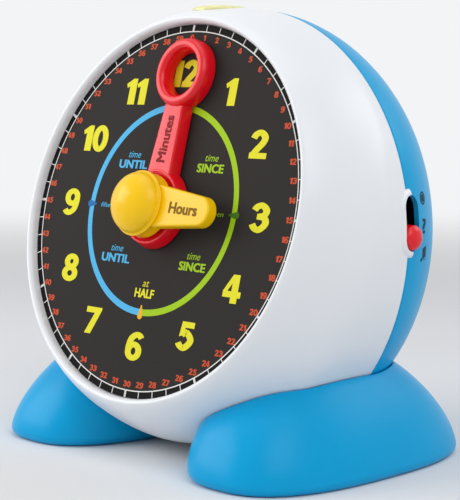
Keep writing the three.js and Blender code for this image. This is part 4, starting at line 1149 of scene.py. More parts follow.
@dataclass(frozen=True)
class ModeSlot:
    """The upright slot with round ends in the side of the drum, at the seam."""

    half_width: float = 6.15
    half_height: float = 12.85
    drop: float = 3.5
    behind_seam: float = 2.5
    cut_reach: float = 14.0
    collar_width: float = 2.6
    collar_proud: float = 1.1
    collar_wrap: float = 2.4
    travel: float = 13.0
    arc_steps: int = 24
    side_steps: int = 9
    inner_x: float = 60.0
    outer_x: float = 125.0
    # The collar's section: how far out from the slot's edge, and how high in shares of its full height.
    collar_section: tuple[tuple[float, float], ...] = (
        (-0.6, -4.0), (-0.6, 0.5), (-0.2, 0.85), (0.5, 1.0), (1.3, 0.9), (2.0, 0.6), (2.6, 0.15),
        (3.2, -0.5), (3.2, -4.0),
    )

    @property
    def centre(self) -> tuple[float, float]:
        """Place of the slot's middle along Y and its height."""
        return DRUM.seam_y + self.behind_seam, DRUM.dial_height - self.drop

    @property
    def side_x(self) -> float:
        """Reach of the drum's side at the seam."""
        return float(DRUM.seam_ring(0, 0, angles=np.array([pi / 2]))[0, 0])

    def outline(self, grow: float) -> np.ndarray:
        """The slot's outline in the YZ plane.

        Args:
            grow: how far it is moved outwards.

        Returns:
            Its points, in turn.
        """
        width = self.half_width + grow
        straight = self.half_height - self.half_width
        points = arc((0, straight), width, 0, 180, self.arc_steps)
        points += arc((0, -straight), width, 180, 360, self.arc_steps)
        return np.array(points) + self.centre

    def prism(self, grow: float = 0.0) -> Shape:
        """A bar of the slot's outline, through the drum's side.

        Args:
            grow: how far the outline is moved outwards.

        Returns:
            The bar.
        """
        outline = self.outline(grow)
        ends = (self.side_x - self.cut_reach, self.side_x + self.cut_reach)
        shape = grid_shape(np.array([np.column_stack([np.full(len(outline), x), outline]) for x in ends]))
        count = len(outline)
        shape.faces += [tuple(range(count)), tuple(range(count, 2 * count))]
        return shape

    def collar(self) -> Shape:
        """The raised rim round the front of the slot, whose horns wrap a little way behind the seam.

        Returns:
            The rim as a closed bar.
        """
        centre = np.array(self.centre)
        straight = self.half_height - self.half_width
        start = degrees(acos((self.collar_wrap - self.behind_seam) / self.half_width))
        heights = np.linspace(straight, -straight, self.side_steps + 1)[1:-1]
        path = arc((0, straight), self.half_width, start, 180, self.arc_steps)
        path += [(-self.half_width, height) for height in heights]
        path += arc((0, -straight), self.half_width, 180, 360 - start, self.arc_steps)
        path = np.array(path) + centre
        heart = np.clip(path[:, 1], centre[1] - straight, centre[1] + straight)
        outward = path - np.column_stack([np.full(len(path), centre[0]), heart])
        outward /= np.linalg.norm(outward, axis=1)[:, None]
        rings = []
        for across, height in self.collar_section:
            flat = path + outward * across
            skin = self.skin_x(flat[:, 0], flat[:, 1])
            rings.append(np.column_stack([skin + height * self.collar_proud, flat]))
        shape = grid_shape(np.transpose(np.array(rings), (1, 0, 2)))
        count, total = len(rings), len(shape.points)
        shape.faces += [tuple(range(count)), tuple(range(total - count, total))]
        return shape

    def skin_x(self, y: np.ndarray, z: np.ndarray) -> np.ndarray:
        """Reach of the drum's skin along X.

        Args:
            y: places along Y.
            z: heights.

        Returns:
            The reach at each place.
        """
        low = np.full(len(y), self.inner_x)
        high = np.full(len(y), self.outer_x)
        for _ in range(DRUM.halvings):
            middle = (low + high) / 2
            inner = DRUM.inside(np.column_stack([middle, y, z]), 0) > 0
            low = np.where(inner, middle, low)
            high = np.where(inner, high, middle)
        return (low + high) / 2


SLOT = ModeSlot()


@dataclass
class FrontHousing:
    """The white drum front with the lip round the dial."""

    recess_radius: float = 90.2
    recess_floor: float = 1.3
    bore_radius: float = 5.3
    floor_rings: tuple[float, ...] = (20.0, 50.0, 80.0)
    button_bore: float = 13.9
    bore_low: float = 150.0
    bore_high: float = 230.0
    bore_sides: int = 96
    lip_steps: int = 10
    skin_steps: int = 60
    skin_crowding: float = 1.8
    inner_steps: int = 20

    def lip(self) -> list[np.ndarray]:
        """Makes the rings of the rounded lip, from the recess to the skin.

        Returns:
            The rings, in turn.
        """
        rings = []
        for share in np.linspace(0, 1, self.lip_steps + 1):
            turn = share * pi / 2
            radius = DRUM.lip_radius - (DRUM.lip_radius - self.recess_radius) * cos(turn)
            rise = DRUM.lip_foot + (DRUM.lip_rise - DRUM.lip_foot) * sin(turn)
            rings.append(DRUM.ring(radius, -rise, DRUM.angles))
        return rings

    def skin(self, seam: float) -> list[np.ndarray]:
        """Makes the rings of the skin, crowded towards the lip, and of the edge at the seam.

        Args:
            seam: the edge's setback.

        Returns:
            The rings, in turn.
        """
        rings = []
        end = DRUM.depth_at(seam - DRUM.seam_edge, DRUM.angles, 0)
        for share in np.linspace(0, 1, self.skin_steps + 1)[1:]:
            depth = -DRUM.lip_rise + (end + DRUM.lip_rise) * share ** self.skin_crowding
            rings.append(DRUM.ring(DRUM.radius(depth), depth, DRUM.angles))
        for turn in EDGE_TURNS[1:]:
            setback = seam - DRUM.seam_edge * (1 - sin(turn))
            outset = -DRUM.seam_edge * (1 - cos(turn))
            depth = DRUM.depth_at(setback, DRUM.angles, outset)
            rings.append(DRUM.ring(DRUM.radius(depth) + outset, depth, DRUM.angles))
        return rings

    def shell(self) -> Shape:
        """Makes the moulded shell of rings about the dial's axis that end at the upright seam.

        Returns:
            A closed shape.
        """
        angles = DRUM.angles
        seam = DRUM.seam_setback - DRUM.seam_groove / 2
        floor = self.recess_floor
        back = floor + DRUM.wall
        rings = [DRUM.ring(r, floor, angles)
                 for r in (self.bore_radius, *self.floor_rings, self.recess_radius)]
        rings += self.lip() + self.skin(seam)
        end = DRUM.depth_at(seam, angles, -DRUM.wall)
        for share in np.linspace(0, 1, self.inner_steps + 1):
            depth = end + (back - end) * share
            rings.append(DRUM.ring(DRUM.radius(depth) - DRUM.wall, depth, angles))
        rings += [DRUM.ring(r, back, angles) for r in (*self.floor_rings[::-1], self.bore_radius)]
        return grid_shape(np.array(rings), closed=True)

    def dress(self) -> None:
        """Builds the housing with its slot, its collar and the button's bore."""
        obj = combine(make_object("white_front_housing", self.shell()), SLOT.collar(), "UNION")
        y = TopButton().y
        bore = cylinder((0, y, self.bore_low), (0, y, self.bore_high), self.button_bore, self.bore_sides)
        obj = combine(obj, SLOT.prism().plus(bore))
        finish_piece(obj, WHITE_ABS, Body.CASE, "white_plastic", "front_housing")


@dataclass
class RearHousing:
    """The blue rear dome with its battery opening, speaker holes and screw wells."""

    tongue_reach: float = 3.0
    tongue_wall: float = 1.6
    tongue_clear: float = 1.0
    dome_steps: int = 56
    inner_steps: int = 24
    flat_shares: tuple[float, ...] = (0.12, 0.3, 0.5, 0.7, 0.85, 0.95)
    well_radius: float = 4.0
    well_wall: float = 1.6
    well_floor: float = 5.0
    well_base: float = 3.0
    past_back: float = 5.0
    past_seam: float = 10.0
    screw_share: float = 0.87
    screw_angles: tuple[float, ...] = (50, 112, 248, 310)
    speaker_z: float = 146.8
    grille_pitch: float = 6.0
    grille_hole: float = 1.6
    grille_depth: float = 12.0
    grille_sides: int = 24
    grille_rings: int = 2

    @property
    def back_y(self) -> float:
        """Place of the flat back along Y."""
        return DRUM.rear_face + DRUM.rear_depth

    def dome(self, outset: float, steps: int) -> list[np.ndarray]:
        """Makes the rings of the dome, from the flat back's rim to the seam.

        Args:
            outset: how far the dome is moved outwards.
            steps: how many there are after the first.

        Returns:
            The rings, in turn.
        """
        rings = []
        for turn in np.linspace(pi / 2, 0, steps + 1):
            share = cos(turn) ** (2 / DRUM.rear_exponent)
            depth = (DRUM.rear_depth + outset) * sin(turn) ** (2 / DRUM.rear_exponent)
            scale = DRUM.rear_flat + (1 - DRUM.rear_flat) * share
            rings.append(DRUM.seam_ring(outset, DRUM.rear_face + depth, scale))
        return rings

    def flat(self, outset: float) -> list[np.ndarray]:
        """Rings of the flat back moved outwards, from near its middle to its rim."""
        y = self.back_y + outset
        return [DRUM.seam_ring(outset, y, DRUM.rear_flat * share) for share in self.flat_shares]

    def shell(self) -> Shape:
        """Makes the dome, its tongue inside the seam and its inner wall.

        Returns:
            A closed shape.
        """
        edge, face = DRUM.seam_edge, DRUM.rear_face
        rings = self.flat(0) + self.dome(0, self.dome_steps)[:-1]
        for turn in EDGE_TURNS:
            rings.append(DRUM.seam_ring(-edge * (1 - cos(turn)), face + edge * (1 - sin(turn))))
        skin = -DRUM.wall - 2 * DRUM.gap
        inner = skin - self.tongue_wall
        root = face + self.tongue_reach
        front = DRUM.seam_y - self.tongue_reach
        rings += [DRUM.seam_ring(outset, y) for outset, y in (
            (skin, face), (skin, front + edge), (skin - edge, front), (inner, front), (inner, root))]
        rings += [ring for ring in reversed(self.dome(-DRUM.wall, self.inner_steps))
                  if ring[0, 1] > root + self.tongue_clear]
        rings += reversed(self.flat(-DRUM.wall))
        middle = DRUM.seam_middle
        return grid_shape(np.array(rings), first=(0, self.back_y, middle),
                          last=(0, self.back_y - DRUM.wall, middle))

    def well_bars(self, radius: float, start: float) -> Shape:
        """Makes a bar in the place of each screw well, out through the back.

        Args:
            radius: of the bars.
            start: how far behind the seam they start.

        Returns:
            The bars.
        """
        places = DRUM.seam_ring(0, 0, self.screw_share, np.radians(self.screw_angles))
        low, high = DRUM.seam_y + start, self.back_y + self.past_back
        bars = [cylinder((x, low, z), (x, high, z), radius) for x, _, z in places]
        return bars[0].plus(*bars[1:])

    def posts(self) -> Shape:
        """Makes the posts that hold the screw wells, cut off at the dome's skin.

        Returns:
            The posts.
        """
        bars = self.well_bars(self.well_radius + self.well_wall, self.well_floor - self.well_base)
        front, middle = DRUM.seam_y - self.past_seam, DRUM.seam_middle
        rings = self.flat(0) + self.dome(0, self.dome_steps) + [DRUM.seam_ring(0, front)]
        outer = grid_shape(np.array(rings), first=(0, self.back_y, middle), last=(0, front, middle))
        return shape_of(combine(make_object("posts", bars), outer, "INTERSECT"))

    def grille(self) -> Shape:
        """Makes cutters for the speaker's holes: one in the middle and rings of six, twelve and so on.

        Returns:
            The cutters.
        """
        tree = geometry_tree("speaker_grille", {"Pitch": self.grille_pitch * MM,
                                                "Hole radius": self.grille_hole * MM,
                                                "Depth": self.grille_depth * MM})
        given = add_node(tree, "NodeGroupInput").outputs
        hole = add_node(tree, "GeometryNodeMeshCylinder", {
            "Vertices": self.grille_sides, "Radius": given["Hole radius"], "Depth": given["Depth"]})
        middle = add_node(tree, "GeometryNodePoints", {"Count": 1})
        gathered = add_node(tree, "GeometryNodeJoinGeometry", {0: middle.outputs[0]})
        for ring in range(1, self.grille_rings + 1):
            reach = add_node(tree, "ShaderNodeMath", {
                0: given["Pitch"], 1: float(ring)}, operation="MULTIPLY")
            circle = add_node(tree, "GeometryNodeMeshCircle", {
                "Vertices": 6 * ring, "Radius": reach.outputs[0]})
            points = add_node(tree, "GeometryNodeMeshToPoints", {0: circle.outputs[0]})
            tree.links.new(points.outputs[0], gathered.inputs[0])
        placed = add_node(tree, "GeometryNodeInstanceOnPoints", {
            "Points": gathered.outputs[0], "Instance": hole.outputs[0]})
        end_tree(tree, placed.outputs[0], BLUE_ABS)
        place = Matrix.Translation((0, self.back_y, self.speaker_z)) @ Matrix.Rotation(pi / 2, 4, "X")
        return shape_of(grown_from(tree, "grille_tool")).moved(place)

    def dress(self) -> None:
        """Builds the housing with its wells and openings."""
        obj = combine(make_object("blue_rear_housing", self.shell()), self.posts(), "UNION")
        wells = self.well_bars(self.well_radius, self.well_floor)
        opening = BatteryDoor().prism(DRUM.gap, self.back_y - self.past_back, self.back_y + self.past_back)
        room = SLOT.prism(SLOT.collar_width + DRUM.gap)
        room.points[:, 1] = np.minimum(room.points[:, 1], DRUM.seam_y + SLOT.collar_wrap + DRUM.gap)
        for tool in (wells.plus(opening, self.grille()), room, SLOT.prism()):
            obj = combine(obj, tool)
        finish_piece(obj, BLUE_ABS, Body.CASE, "blue_plastic", "rear_housing")


@dataclass
class BatteryDoor:
    """The battery door: a rounded rectangle with a round tab for its screw."""

    half_width: float = 32.0
    half_height: float = 26.2
    corner: float = 5.0
    corner_steps: int = 8
    tab_radius: float = 5.5
    tab_reach: float = 1.5
    tab_steps: int = 20
    thickness: float = 2.2
    edge: float = 0.5
    centre_z: float = 87.5
    screw_head: float = 3.5
    screw_sink: float = 1.4
    sink_past: float = 3.0
    screw_hole: float = 1.8
    hole_reach: float = 6.0

    def outline(self, grow: float) -> np.ndarray:
        """Draws the door's outline, seen from behind the clock.

        Args:
            grow: how far it is moved outwards.

        Returns:
            Its points, in turn.
        """
        x, z, corner = self.half_width + grow, self.half_height + grow, self.corner + grow
        points = arc((x - corner, -z + corner), corner, -90, 0, self.corner_steps)
        points += arc((x - corner, z - corner), corner, 0, 90, self.corner_steps)
        points += arc((0, self.half_height + self.tab_reach), self.tab_radius + grow, 0, 180, self.tab_steps)
        points += arc((-x + corner, z - corner), corner, 90, 180, self.corner_steps)
        points += arc((-x + corner, -z + corner), corner, 180, 270, self.corner_steps)
        return np.array(points)

    def place(self, y: float) -> Matrix:
        """Turns a plate's own frame to face the back, at a place along Y."""
        turn = Matrix.Rotation(pi, 4, "Z") @ Matrix.Rotation(pi / 2, 4, "X")
        return Matrix.Translation((0, y, self.centre_z)) @ turn

    def prism(self, grow: float, low_y: float, high_y: float) -> Shape:
        """A bar of the door's outline, moved outwards, between two places along Y."""
        return rounded_plate(self.outline(grow), 0, high_y - low_y, NO_EDGE, 1).moved(self.place(low_y))

    def dress(self) -> None:
        """Builds the door and gives it its finish."""
        back = RearHousing().back_y
        plate = rounded_plate(self.outline(0), 0, self.thickness, self.edge)
        obj = make_object("blue_battery_door", plate.moved(self.place(back - self.thickness)))
        z = self.centre_z + self.half_height + self.tab_reach
        sink = cylinder((0, back - self.screw_sink, z), (0, back + self.sink_past, z), self.screw_head)
        hole = cylinder((0, back - self.hole_reach, z), (0, back, z), self.screw_hole)
        obj = combine(combine(obj, sink), hole)
        finish_piece(obj, BLUE_ABS, Body.CASE, "blue_plastic", "battery_door")


@dataclass
class Foot:
    """One moulded foot: a mound with a squarish plan that hugs the drum."""

    side: int = 1
    offset: float = 66.0
    half_width: float = 40.7
    half_length: float = 75.7
    height: float = 61.0
    plan_exponent: float = 2.63
    dome_exponent: float = 1.593
    lean: float = 0.137
    edge: float = 4.4
    land: float = 2.4
    wall: float = 2.5
    rim: float = 1.1
    rim_shares: tuple[float, ...] = (0.2, 0.4, 0.6, 0.8, 1.0)
    mouth_top: float = 2.9
    sides: int = 200
    mound_steps: int = 44
    inner_steps: int = 16
    saddle_shares: tuple[float, ...] = (0.04, 0.09, 0.16, 0.26, 0.4, 0.56, 0.74, 0.9)
    middle: tuple[float, float] = (60.0, 0.0)
    # The search for the joint line goes up the mound to just below its top.
    search_end: float = 1.999
    search_steps: int = 400
    halvings: int = 30
    nudge: float = 0.01
    sharp_deg: float = 50.0

    @property
    def angles(self) -> np.ndarray:
        """Angles round the foot's plan."""
        return np.arange(self.sides) / self.sides * TURN

    def squared(self, value: np.ndarray) -> np.ndarray:
        """Sines or cosines, swelled towards a squarish plan."""
        return np.sign(value) * np.abs(value) ** (2 / self.plan_exponent)

    def skin(self, rise: np.ndarray, inset: float) -> np.ndarray:
        """Finds points of the mound.

        Args:
            rise: one value for each angle: 0 to 1 goes round the bottom edge, 1 to 2 up the dome.
            inset: how far the mound is drawn in.

        Returns:
            One point for each angle.
        """
        low = np.clip(rise, 0, 1) * pi / 2
        high = np.clip(rise - 1, 0, 1) * pi / 2
        power = 2 / self.dome_exponent
        scale = np.cos(high) ** power
        height = self.edge * (1 - np.cos(low)) + (self.height - inset - self.edge) * np.sin(high) ** power
        tuck = inset + self.edge * (1 - np.sin(low))
        across = (self.half_width - tuck) * self.squared(np.cos(self.angles)) * scale
        along = (self.half_length - tuck) * self.squared(np.sin(self.angles)) * scale
        return np.stack([self.offset - self.lean * height + across, along, height], axis=-1)

    def meeting(self, inset: float, outset: float, start: float) -> np.ndarray:
        """Finds where each line up the mound meets the drum.

        Args:
            inset: how far the mound is drawn in.
            outset: how far the drum's skin is moved outwards.
            start: the rise from which the search goes up.

        Returns:
            The rise at each angle.
        """
        steps = np.linspace(start, self.search_end, self.search_steps)
        inner = np.array([DRUM.inside(self.skin(np.full(self.sides, step), inset), outset) > 0
                          for step in steps])
        first = np.argmax(inner, axis=0)
        low = steps[np.maximum(first - 1, 0)]
        high = steps[first]
        for _ in range(self.halvings):
            middle = (low + high) / 2
            inner = DRUM.inside(self.skin(middle, inset), outset) > 0
            high = np.where(inner, middle, high)
            low = np.where(inner, low, middle)
        return (low + high) / 2

    def saddle(self, edge: np.ndarray, outset: float) -> list[np.ndarray]:
        """Makes the rings on the drum's underside, from an edge to the foot's middle.

        Args:
            edge: points of the edge.
            outset: how far the drum's skin is moved outwards.

        Returns:
            The rings, in turn.
        """
        rings = []
        for share in self.saddle_shares:
            flat = edge[:, :2] + (np.array(self.middle) - edge[:, :2]) * share
            rings.append(np.column_stack([flat, DRUM.underside(flat, outset)]))
        return rings

    def outer(self) -> list[np.ndarray]:
        """Makes the rings up the mound, over its rounded rim and across its saddle.

        Returns:
            The rings, in turn.
        """
        meet = self.meeting(0, DRUM.gap, 0.0)
        corner = self.skin(meet, 0)
        speed = np.linalg.norm(corner - self.skin(meet - self.nudge, 0), axis=1) / self.nudge
        before = meet - np.minimum(self.rim / speed, meet / 2)
        rings = [self.skin(before * share, 0) for share in np.linspace(0, 1, self.mound_steps + 1)]
        inwards = np.array(self.middle) - corner[:, :2]
        reach = np.linalg.norm(inwards, axis=1)[:, None]
        flat = corner[:, :2] + inwards * self.rim / reach
        after = np.column_stack([flat, DRUM.underside(flat, DRUM.gap)])
        start = rings[-1]
        rings += [(1 - t) ** 2 * start + 2 * t * (1 - t) * corner + t * t * after for t in self.rim_shares]
        return rings + self.saddle(corner, DRUM.gap)

    def inner(self) -> list[np.ndarray]:
        """Makes the rings of the flat land's inner edge and of the hollow.

        Returns:
            The rings, in turn.
        """
        clear = DRUM.gap + self.wall
        mouth = [self.skin(np.zeros(self.sides), self.land) for _ in range(2)]
        mouth[0][:, 2] = 0.0
        mouth[1][:, 2] = self.mouth_top
        meet = self.meeting(self.wall, clear, 1.0)
        walls = [self.skin(1 + (meet - 1) * share, self.wall)
                 for share in np.linspace(0, 1, self.inner_steps)]
        rings = mouth + walls + self.saddle(walls[-1], clear)
        for ring in rings[1:]:
            ring[:, 2] = np.minimum(ring[:, 2], DRUM.underside(ring[:, :2], clear))
        return rings

    def shell(self) -> Shape:
        """Makes the right foot with its rounded rim, its saddle, its flat land and its hollow.

        Returns:
            A closed shape.
        """
        middle = np.array([self.middle])
        rings = np.array(self.outer()[::-1] + self.inner())
        return grid_shape(rings, first=np.append(middle, DRUM.underside(middle, DRUM.gap)),
                          last=np.append(middle, DRUM.underside(middle, DRUM.gap + self.wall)))

    def dress(self) -> None:
        """Builds the foot and gives it its finish."""
        shape = self.shell()
        shape.points = shape.points * [self.side, 1, 1]
        label = "right" if self.side > 0 else "left"
        obj = make_object(f"blue_{label}_foot", shape, self.sharp_deg)
        finish_piece(obj, BLUE_ABS, Body.CASE, "blue_plastic", f"{label}_foot")


@dataclass
class Dial:
    """The printed disc: a minute ring with marks and numbers, hour numerals and a two-coloured ring."""

    radius: float = 89.9
    thickness: float = 1.0
    bore: float = 5.3
    ink: float = 0.05
    ring_line: float = 86.5
    ring_width: float = 0.5
    ring_steps: int = 180
    mark_end: float = 89.8
    mark_width: float = 0.42
    hour_mark_width: float = 1.2
    minute_circle: float = 83.6
    minute_height: float = 2.8
    hour_circle: float = 65.8
    hour_height: float = 13.0
    colour_circle: float = 49.6
    colour_width: float = 3.1
    marker_radius: float = 1.7
    marker_steps: int = 23
    marker_tip: float = 5.0
    marker_tip_half: float = 0.3
    marker_lift: float = 1.6
    until_word: Word = Word("UNTIL", 20.5, 4.2, weight=0.08)
    since_word: Word = Word("SINCE", 17.5, 4.2, weight=0.08)
    until_x: float = -24.8
    since_x: float = 28.8
    word_heights: tuple[float, ...] = (20.8, -25.4)
    time_word: Word = Word("time", 8.6, 3.2, slant=0.25)
    time_rise: float = 4.9
    fifteen_word: Word = Word("fifteen", 11.0, 2.3, slant=0.2)
    fifteen_x: float = 37.3
    half_word: Word = Word("HALF", 13.4, 4.3, weight=0.08)
    half_place: tuple[float, float] = (0.2, -40.5)
    at_word: Word = Word("at", 4.4, 2.8, slant=0.2)
    at_place: tuple[float, float] = (0.2, -36.0)

    def set_in(self, name: str, shape: Shape, finish: Finish, lift: float = 0.0) -> None:
        """Lays a printed shape on the dial's face.

        Args:
            name: the piece's name.
            shape: drawn about the dial's middle.
            finish: its ink.
            lift: how far it lies over the first layer of ink.
        """
        place = DRUM.dial_matrix() @ Matrix.Translation((0, 0, self.ink / 2 + lift))
        finish_piece(make_object(name, shape.moved(place)), finish, Body.CASE, "printed_dial")

    def band(self, radius: float, width: float, start: float = 0.0, end: float = 360.0) -> Shape:
        """Draws a flat ring or a part of one.

        Args:
            radius: of its middle line.
            width: of the band.
            start: first angle in degrees.
            end: last angle in degrees.

        Returns:
            The band.
        """
        turns = np.radians(np.linspace(start, end, self.ring_steps + 1))
        whole = abs(end - start) >= 360
        if whole:
            turns = turns[:-1]
        inner, outer, half = radius - width / 2, radius + width / 2, self.ink / 2
        section = [(inner, -half), (outer, -half), (outer, half), (inner, half)]
        rings = np.array([[(r * cos(t), r * sin(t), z) for r, z in section] for t in turns])
        shape = grid_shape(rings, closed=whole)
        if not whole:
            last = len(shape.points)
            shape.faces += [(0, 1, 2, 3), (last - 4, last - 3, last - 2, last - 1)]
        return shape

    def minute_marks(self) -> Object:
        """Makes sixty marks from the ring line outwards, every fifth one wider, set round a circle by rule.

        Returns:
            The marks on the dial's face.
        """
        length = self.mark_end - self.ring_line
        tree = geometry_tree("minute_marks", {"Circle": (self.ring_line + length / 2) * MM,
                                              "Length": length * MM,
                                              "Width": self.mark_width * MM,
                                              "Hour width": self.hour_mark_width * MM,
                                              "Ink": self.ink * MM})
        given = add_node(tree, "NodeGroupInput").outputs
        gathered = add_node(tree, "GeometryNodeJoinGeometry")
        for count, width in ((60, "Width"), (12, "Hour width")):
            size = add_node(tree, "ShaderNodeCombineXYZ", {
                0: given["Length"], 1: given[width], 2: given["Ink"]})
            mark = add_node(tree, "GeometryNodeMeshCube", {"Size": size.outputs[0]})
            circle = add_node(tree, "GeometryNodeMeshCircle", {"Vertices": count, "Radius": given["Circle"]})
            place = add_node(tree, "GeometryNodeInputPosition")
            turn = add_node(tree, "FunctionNodeAlignEulerToVector", {"Vector": place.outputs[0]}, axis="X")
            marks = add_node(tree, "GeometryNodeInstanceOnPoints", {
                "Points": circle.outputs[0], "Instance": mark.outputs[0], "Rotation": turn.outputs[0]})
            tree.links.new(marks.outputs[0], gathered.inputs[0])
        end_tree(tree, gathered.outputs[0], WHITE_INK)
        shape = shape_of(grown_from(tree, "minute_marks"))
        place = DRUM.dial_matrix() @ Matrix.Translation((0, 0, self.ink))
        return make_object("dial_minute_marks", shape.moved(place))

    def round_dial(self, values: Sequence[int], circle: float, height: float) -> Shape:
        """Sets numbers upright round a circle, the last of them at the top.

        Args:
            values: the numbers.
            circle: radius of the circle through their middles.
            height: of the figures.

        Returns:
            The numbers.
        """
        shapes = []
        for i, value in enumerate(values, 1):
            angle = i / len(values) * TURN
            at = Matrix.Translation((circle * sin(angle), circle * cos(angle), 0))
            shapes.append(FIGURES.number(value, height, self.ink).moved(at))
        return shapes[0].plus(*shapes[1:])

    def marker(self, bearing: float) -> Shape:
        """Draws a drop-shaped marker on the colour ring, whose tip points at the dial's middle.

        Args:
            bearing: where it sits, clockwise from the top.

        Returns:
            The marker.
        """
        outline = arc((0, 0), self.marker_radius, -205, 25, self.marker_steps)
        outline += [(self.marker_tip_half, self.marker_tip), (-self.marker_tip_half, self.marker_tip)]
        place = (Matrix.Rotation(-bearing, 4, "Z")
                 @ Matrix.Translation((0, self.colour_circle + self.marker_lift, 0))
                 @ Matrix.Rotation(pi, 4, "Z"))
        return rounded_plate(np.array(outline), -self.ink / 2, self.ink / 2, 0.0, 1).moved(place)

    def word_at(self, word: Word, x: float, y: float) -> Shape:
        """A word with its middle at a place on the dial."""
        return word.shape(self.ink).moved(Matrix.Translation((x, y, 0)))

    def print_words(self) -> None:
        """Prints plain words beside the halves and the quarters of the hour."""
        for name, word, x, fifteen_x, finish in (
                ("until", self.until_word, self.until_x, -self.fifteen_x, BLUE_INK),
                ("since", self.since_word, self.since_x, self.fifteen_x, GREEN_INK)):
            shapes = [self.word_at(self.fifteen_word, fifteen_x, 0)]
            for height in self.word_heights:
                shapes.append(self.word_at(word, x, height))
                shapes.append(self.word_at(self.time_word, x, height + self.time_rise))
            self.set_in(f"dial_words_{name}", shapes[0].plus(*shapes[1:]), finish)
        half = self.word_at(self.half_word, *self.half_place)
        self.set_in("dial_word_half", half.plus(self.word_at(self.at_word, *self.at_place)), YELLOW_INK)

    def dress(self) -> None:
        """Builds the disc and everything that is printed on it."""
        disc = turned([(self.bore, -self.thickness), (self.radius, -self.thickness), (self.radius, 0),
                       (self.bore, 0)], DRUM.sides, DRUM.dial_matrix())
        finish_piece(make_object("printed_dial_face", disc), DIAL_SHEET, Body.CASE, "printed_dial",
                     "dial_face")
        self.set_in("dial_ring_line", self.band(self.ring_line, self.ring_width), WHITE_INK)
        finish_piece(self.minute_marks(), WHITE_INK, Body.CASE, "printed_dial")
        hours = self.round_dial(range(1, 13), self.hour_circle, self.hour_height)
        self.set_in("dial_hour_numerals", hours, YELLOW_INK)
        minutes = self.round_dial([*range(1, 60), 0], self.minute_circle, self.minute_height)
        self.set_in("dial_minute_numbers", minutes, ORANGE_INK)
        for name, start, finish in (("to", 90, BLUE_INK), ("past", -90, GREEN_INK)):
            half = self.band(self.colour_circle, self.colour_width, start, start + 180)
            self.set_in(f"dial_half_ring_{name}", half, finish)
        for name, bearing, finish in (("three", 90, DEEP_GREEN_INK), ("six", 180, AMBER_INK),
                                      ("nine", 270, DEEP_BLUE_INK)):
            self.set_in(f"dial_marker_{name}", self.marker(radians(bearing)), finish, self.ink)
        self.print_words()


